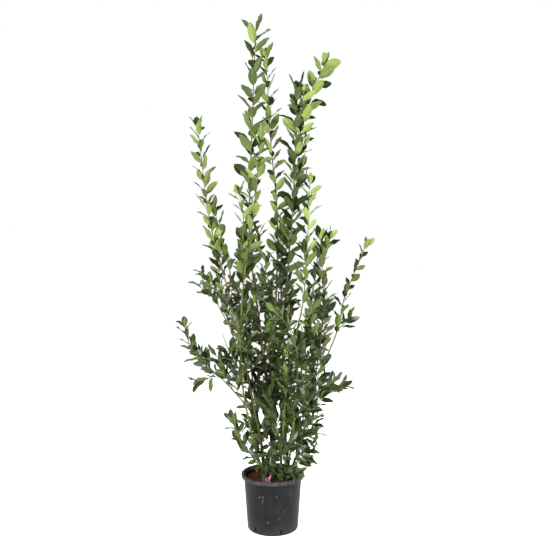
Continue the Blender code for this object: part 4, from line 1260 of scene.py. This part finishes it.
for seed, (mass, grown) in enumerate(leaves.items()):
    rows = np.vstack(grown)
    middles = rows[:, 0:3] + rows[:, 3:6] * rows[:, 9:10] / 2
    for place, tint, length_share in MARKED_LEAVES.get(mass, ()):
        marked = np.linalg.norm(middles - place, axis=1).argmin()
        rows[marked, 9] *= length_share
        rows[marked, 11] = tint
    shape, uv = leaf_shapes(rows, np.random.default_rng(300 + seed))
    kinds = 4 * rows[:, 11:] + BLADE_KINDS
    numbers = np.concatenate((kinds[:, :QUADS_IN_BLADE].reshape(-1), kinds[:, QUADS_IN_BLADE:].reshape(-1)))
    piece = new_piece(f"leaves_of_{mass}", [shape], leaf_materials, [numbers], sharp=60.0)
    layer = piece.data.uv_layers.new(name="blade")
    corners = np.zeros(len(piece.data.loops), np.int32)
    piece.data.loops.foreach_get("vertex_index", corners)
    layer.data.foreach_set("uv", uv[corners].astype(np.float32).reshape(-1))
    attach(piece, "root")
    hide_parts(*(f"leaves_{name}" for name in MASSES[mass] if f"leaves_{name}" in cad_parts))


# --- Pink tape ------------------------------------------------------------------------
# A nursery's marking tape of thin pink film, wound round the foot of one stem with its loose
# end crumpled on the soil in front, and two scraps of it knotted to stems higher up.
TAPE_COLUMNS = 18
TAPE_CRUMPLE = 0.13             # how far the creases stand in and out, as a share
TAPE_BRIGHT = (240, 150, 200)
TAPE_FADED = (196, 96, 150)
BAND_HEIGHTS = (0.218, 0.229)
BAND_HALF_WIDTHS = (0.0074, 0.0092, 0.0080, 0.0086, 0.0072)
# Places, half widths and half depths of the crumpled end and of its flap
TAPE_LUMPS = (
    (((-0.023, -0.048, 0.220), (-0.017, -0.054, 0.227), (-0.011, -0.055, 0.237), (-0.008, -0.053, 0.246)),
     (0.0030, 0.0080, 0.0062, 0.0046, 0.0020), (0.0020, 0.0062, 0.0052, 0.0038, 0.0020)),
    (((-0.026, -0.055, 0.2215), (-0.018, -0.062, 0.2205), (-0.009, -0.064, 0.2195)),
     (0.0030, 0.0066, 0.0058, 0.0030), (0.0020, 0.0026, 0.0018, 0.0010)),
)
# Stem and height of each scrap, and half its width
TAPE_SCRAPS = (("right_inner", 0.858, 0.0052), ("right_outer", 0.790, 0.0044))


def crumpled(places, half_widths, half_depths, phase):
    """Crumpled film along a route, as a closed tube of flattened rings.

    Half widths and depths are read off between those given, and each point stands in or out
    by two sine waves of the angle round the tube and of the share of the way along.
    """
    route = smooth_route(places, steps=8)
    travelled = distances_along(route)
    share = travelled / travelled[-1]
    directions = unit(np.gradient(route, travelled, axis=0))
    side, other = square_to(directions)
    width = np.interp(share, np.linspace(0.0, 1.0, len(half_widths)), half_widths)
    depth = np.interp(share, np.linspace(0.0, 1.0, len(half_depths)), half_depths)
    angles = np.linspace(0.0, math.tau, TAPE_COLUMNS, endpoint=False)
    creases = np.sin(3 * angles + 11 * share[:, None] + phase)
    creases = creases + 0.8 * np.sin(5 * angles - 17 * share[:, None] + 2 * phase)
    swell = (1.0 + TAPE_CRUMPLE * creases)[..., None]
    rings = route[:, None] + swell * (
        width[:, None, None] * np.cos(angles)[:, None] * side[:, None]
        + depth[:, None, None] * np.sin(angles)[:, None] * other[:, None])
    return closed_tubes(rings[None], route[:1], route[-1:])


def tape_film():
    """Thin glossy pink film, paler on its creases."""
    material, tree, shader = new_material("pink_tape")
    place = object_place(tree)
    creases = noise(tree, place, scale=190.0, detail=3.0)
    colour = ramp(tree, creases, (0.36, TAPE_FADED), (0.60, TAPE_BRIGHT))
    tree.links.new(colour, shader.inputs["Base Color"])
    shader.inputs["Roughness"].default_value = 0.38
    dent(tree, shader, 0.5, 0.0008, creases)
    return material


tied = stems["left_inner"]
band_places, _ = tied.at(np.linspace(*[tied.distance_at(height) for height in BAND_HEIGHTS], 4))
tape_shapes = [crumpled(band_places, BAND_HALF_WIDTHS, BAND_HALF_WIDTHS, 0.6)]
tape_shapes += [crumpled(*lump, 1.7) for lump in TAPE_LUMPS]
for name, height, half_width in TAPE_SCRAPS:
    stem = stems[name]
    middle, forward = stem.at(stem.distance_at(height))
    widths = np.array((0.5, 1.5, 1.2, 1.6, 0.5)) * half_width
    tape_shapes.append(crumpled((middle - half_width * forward, middle, middle + half_width * forward),
                                widths, widths, height))
tape = new_piece("marking_tape", tape_shapes, [tape_film()])
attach(tape, "root")
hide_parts("tie")


# --- Studio ---------------------------------------------------------------------------
# A pale floor under plain soft light, in front of white, and the camera level with the
# middle of the plant.
CAMERA_PLACE = (VIEW_MIDDLE[0], -VIEW_DISTANCE, VIEW_MIDDLE[1])
LENS = 39.5
FLOOR_SIZE = 14.0
AMBIENT = 0.08                  # strength of the light that comes from all round

floor_points = [(x * FLOOR_SIZE, y * FLOOR_SIZE, 0.0) for x, y in ((-1, -1), (1, -1), (1, 1), (-1, 1))]
floor_mesh = bpy.data.meshes.new("floor")
floor_mesh.from_pydata(floor_points, [], [(0, 1, 2, 3)])
floor_material, _, floor_shader = new_material("pale_floor")
floor_shader.inputs["Base Color"].default_value = linear((240, 240, 240))
floor_shader.inputs["Roughness"].default_value = 0.9
floor_shader.inputs["Emission Color"].default_value = (1.0, 1.0, 1.0, 1.0)
floor_shader.inputs["Emission Strength"].default_value = 1.0
floor_mesh.materials.append(floor_material)
floor = bpy.data.objects.new("floor", floor_mesh)
bpy.context.scene.collection.objects.link(floor)
floor.visible_diffuse = False

world = bpy.data.worlds.new("white_studio")
world.use_nodes = True
ambient = world.node_tree.nodes["Background"]
ambient.inputs["Color"].default_value = (1.0, 1.0, 1.0, 1.0)
ambient.inputs["Strength"].default_value = AMBIENT
backdrop = node(world.node_tree, "Background", {"Color": (1.0, 1.0, 1.0, 1.0), "Strength": 1.0})
seen = node(world.node_tree, "LightPath", {}).outputs["Is Camera Ray"]
shown = node(world.node_tree, "MixShader", {0: seen, 1: ambient.outputs[0], 2: backdrop.outputs[0]})
world.node_tree.links.new(shown.outputs[0], world.node_tree.nodes["World Output"].inputs["Surface"])
bpy.context.scene.world = world


def soft_light(name, place, aim, size, watts, mirrored=True):
    """A square soft box that faces a place, which glossy surfaces mirror unless told not to."""
    light = bpy.data.lights.new(name, "AREA")
    light.size = size
    light.energy = watts
    lamp = bpy.data.objects.new(name, light)
    lamp.location = place
    lamp.visible_glossy = mirrored
    direction = np.array(place) - np.array(aim)
    lamp.rotation_euler = (math.atan2(math.hypot(direction[0], direction[1]), direction[2]), 0.0,
                           math.atan2(direction[0], -direction[1]))
    bpy.context.scene.collection.objects.link(lamp)


soft_light("key", (-1.7, -2.6, 1.9), (0.0, 0.0, 0.9), 1.0, 120.0)
soft_light("fill", (2.2, -2.2, 0.8), (0.0, 0.0, 0.5), 1.3, 77.0)
soft_light("back", (0.6, 3.0, 1.8), (0.0, 0.0, 1.0), 1.8, 38.0)
soft_light("top", (0.0, 0.4, 4.0), (0.0, 0.0, 1.2), 1.5, 62.0, mirrored=False)

camera_data = bpy.data.cameras.new("camera")
camera_data.lens = LENS
camera = bpy.data.objects.new("camera", camera_data)
camera.location = CAMERA_PLACE
camera.rotation_euler = (math.radians(90.0), 0.0, 0.0)
bpy.context.scene.collection.objects.link(camera)
bpy.context.scene.camera = camera
bpy.context.scene.view_settings.view_transform = "Standard"
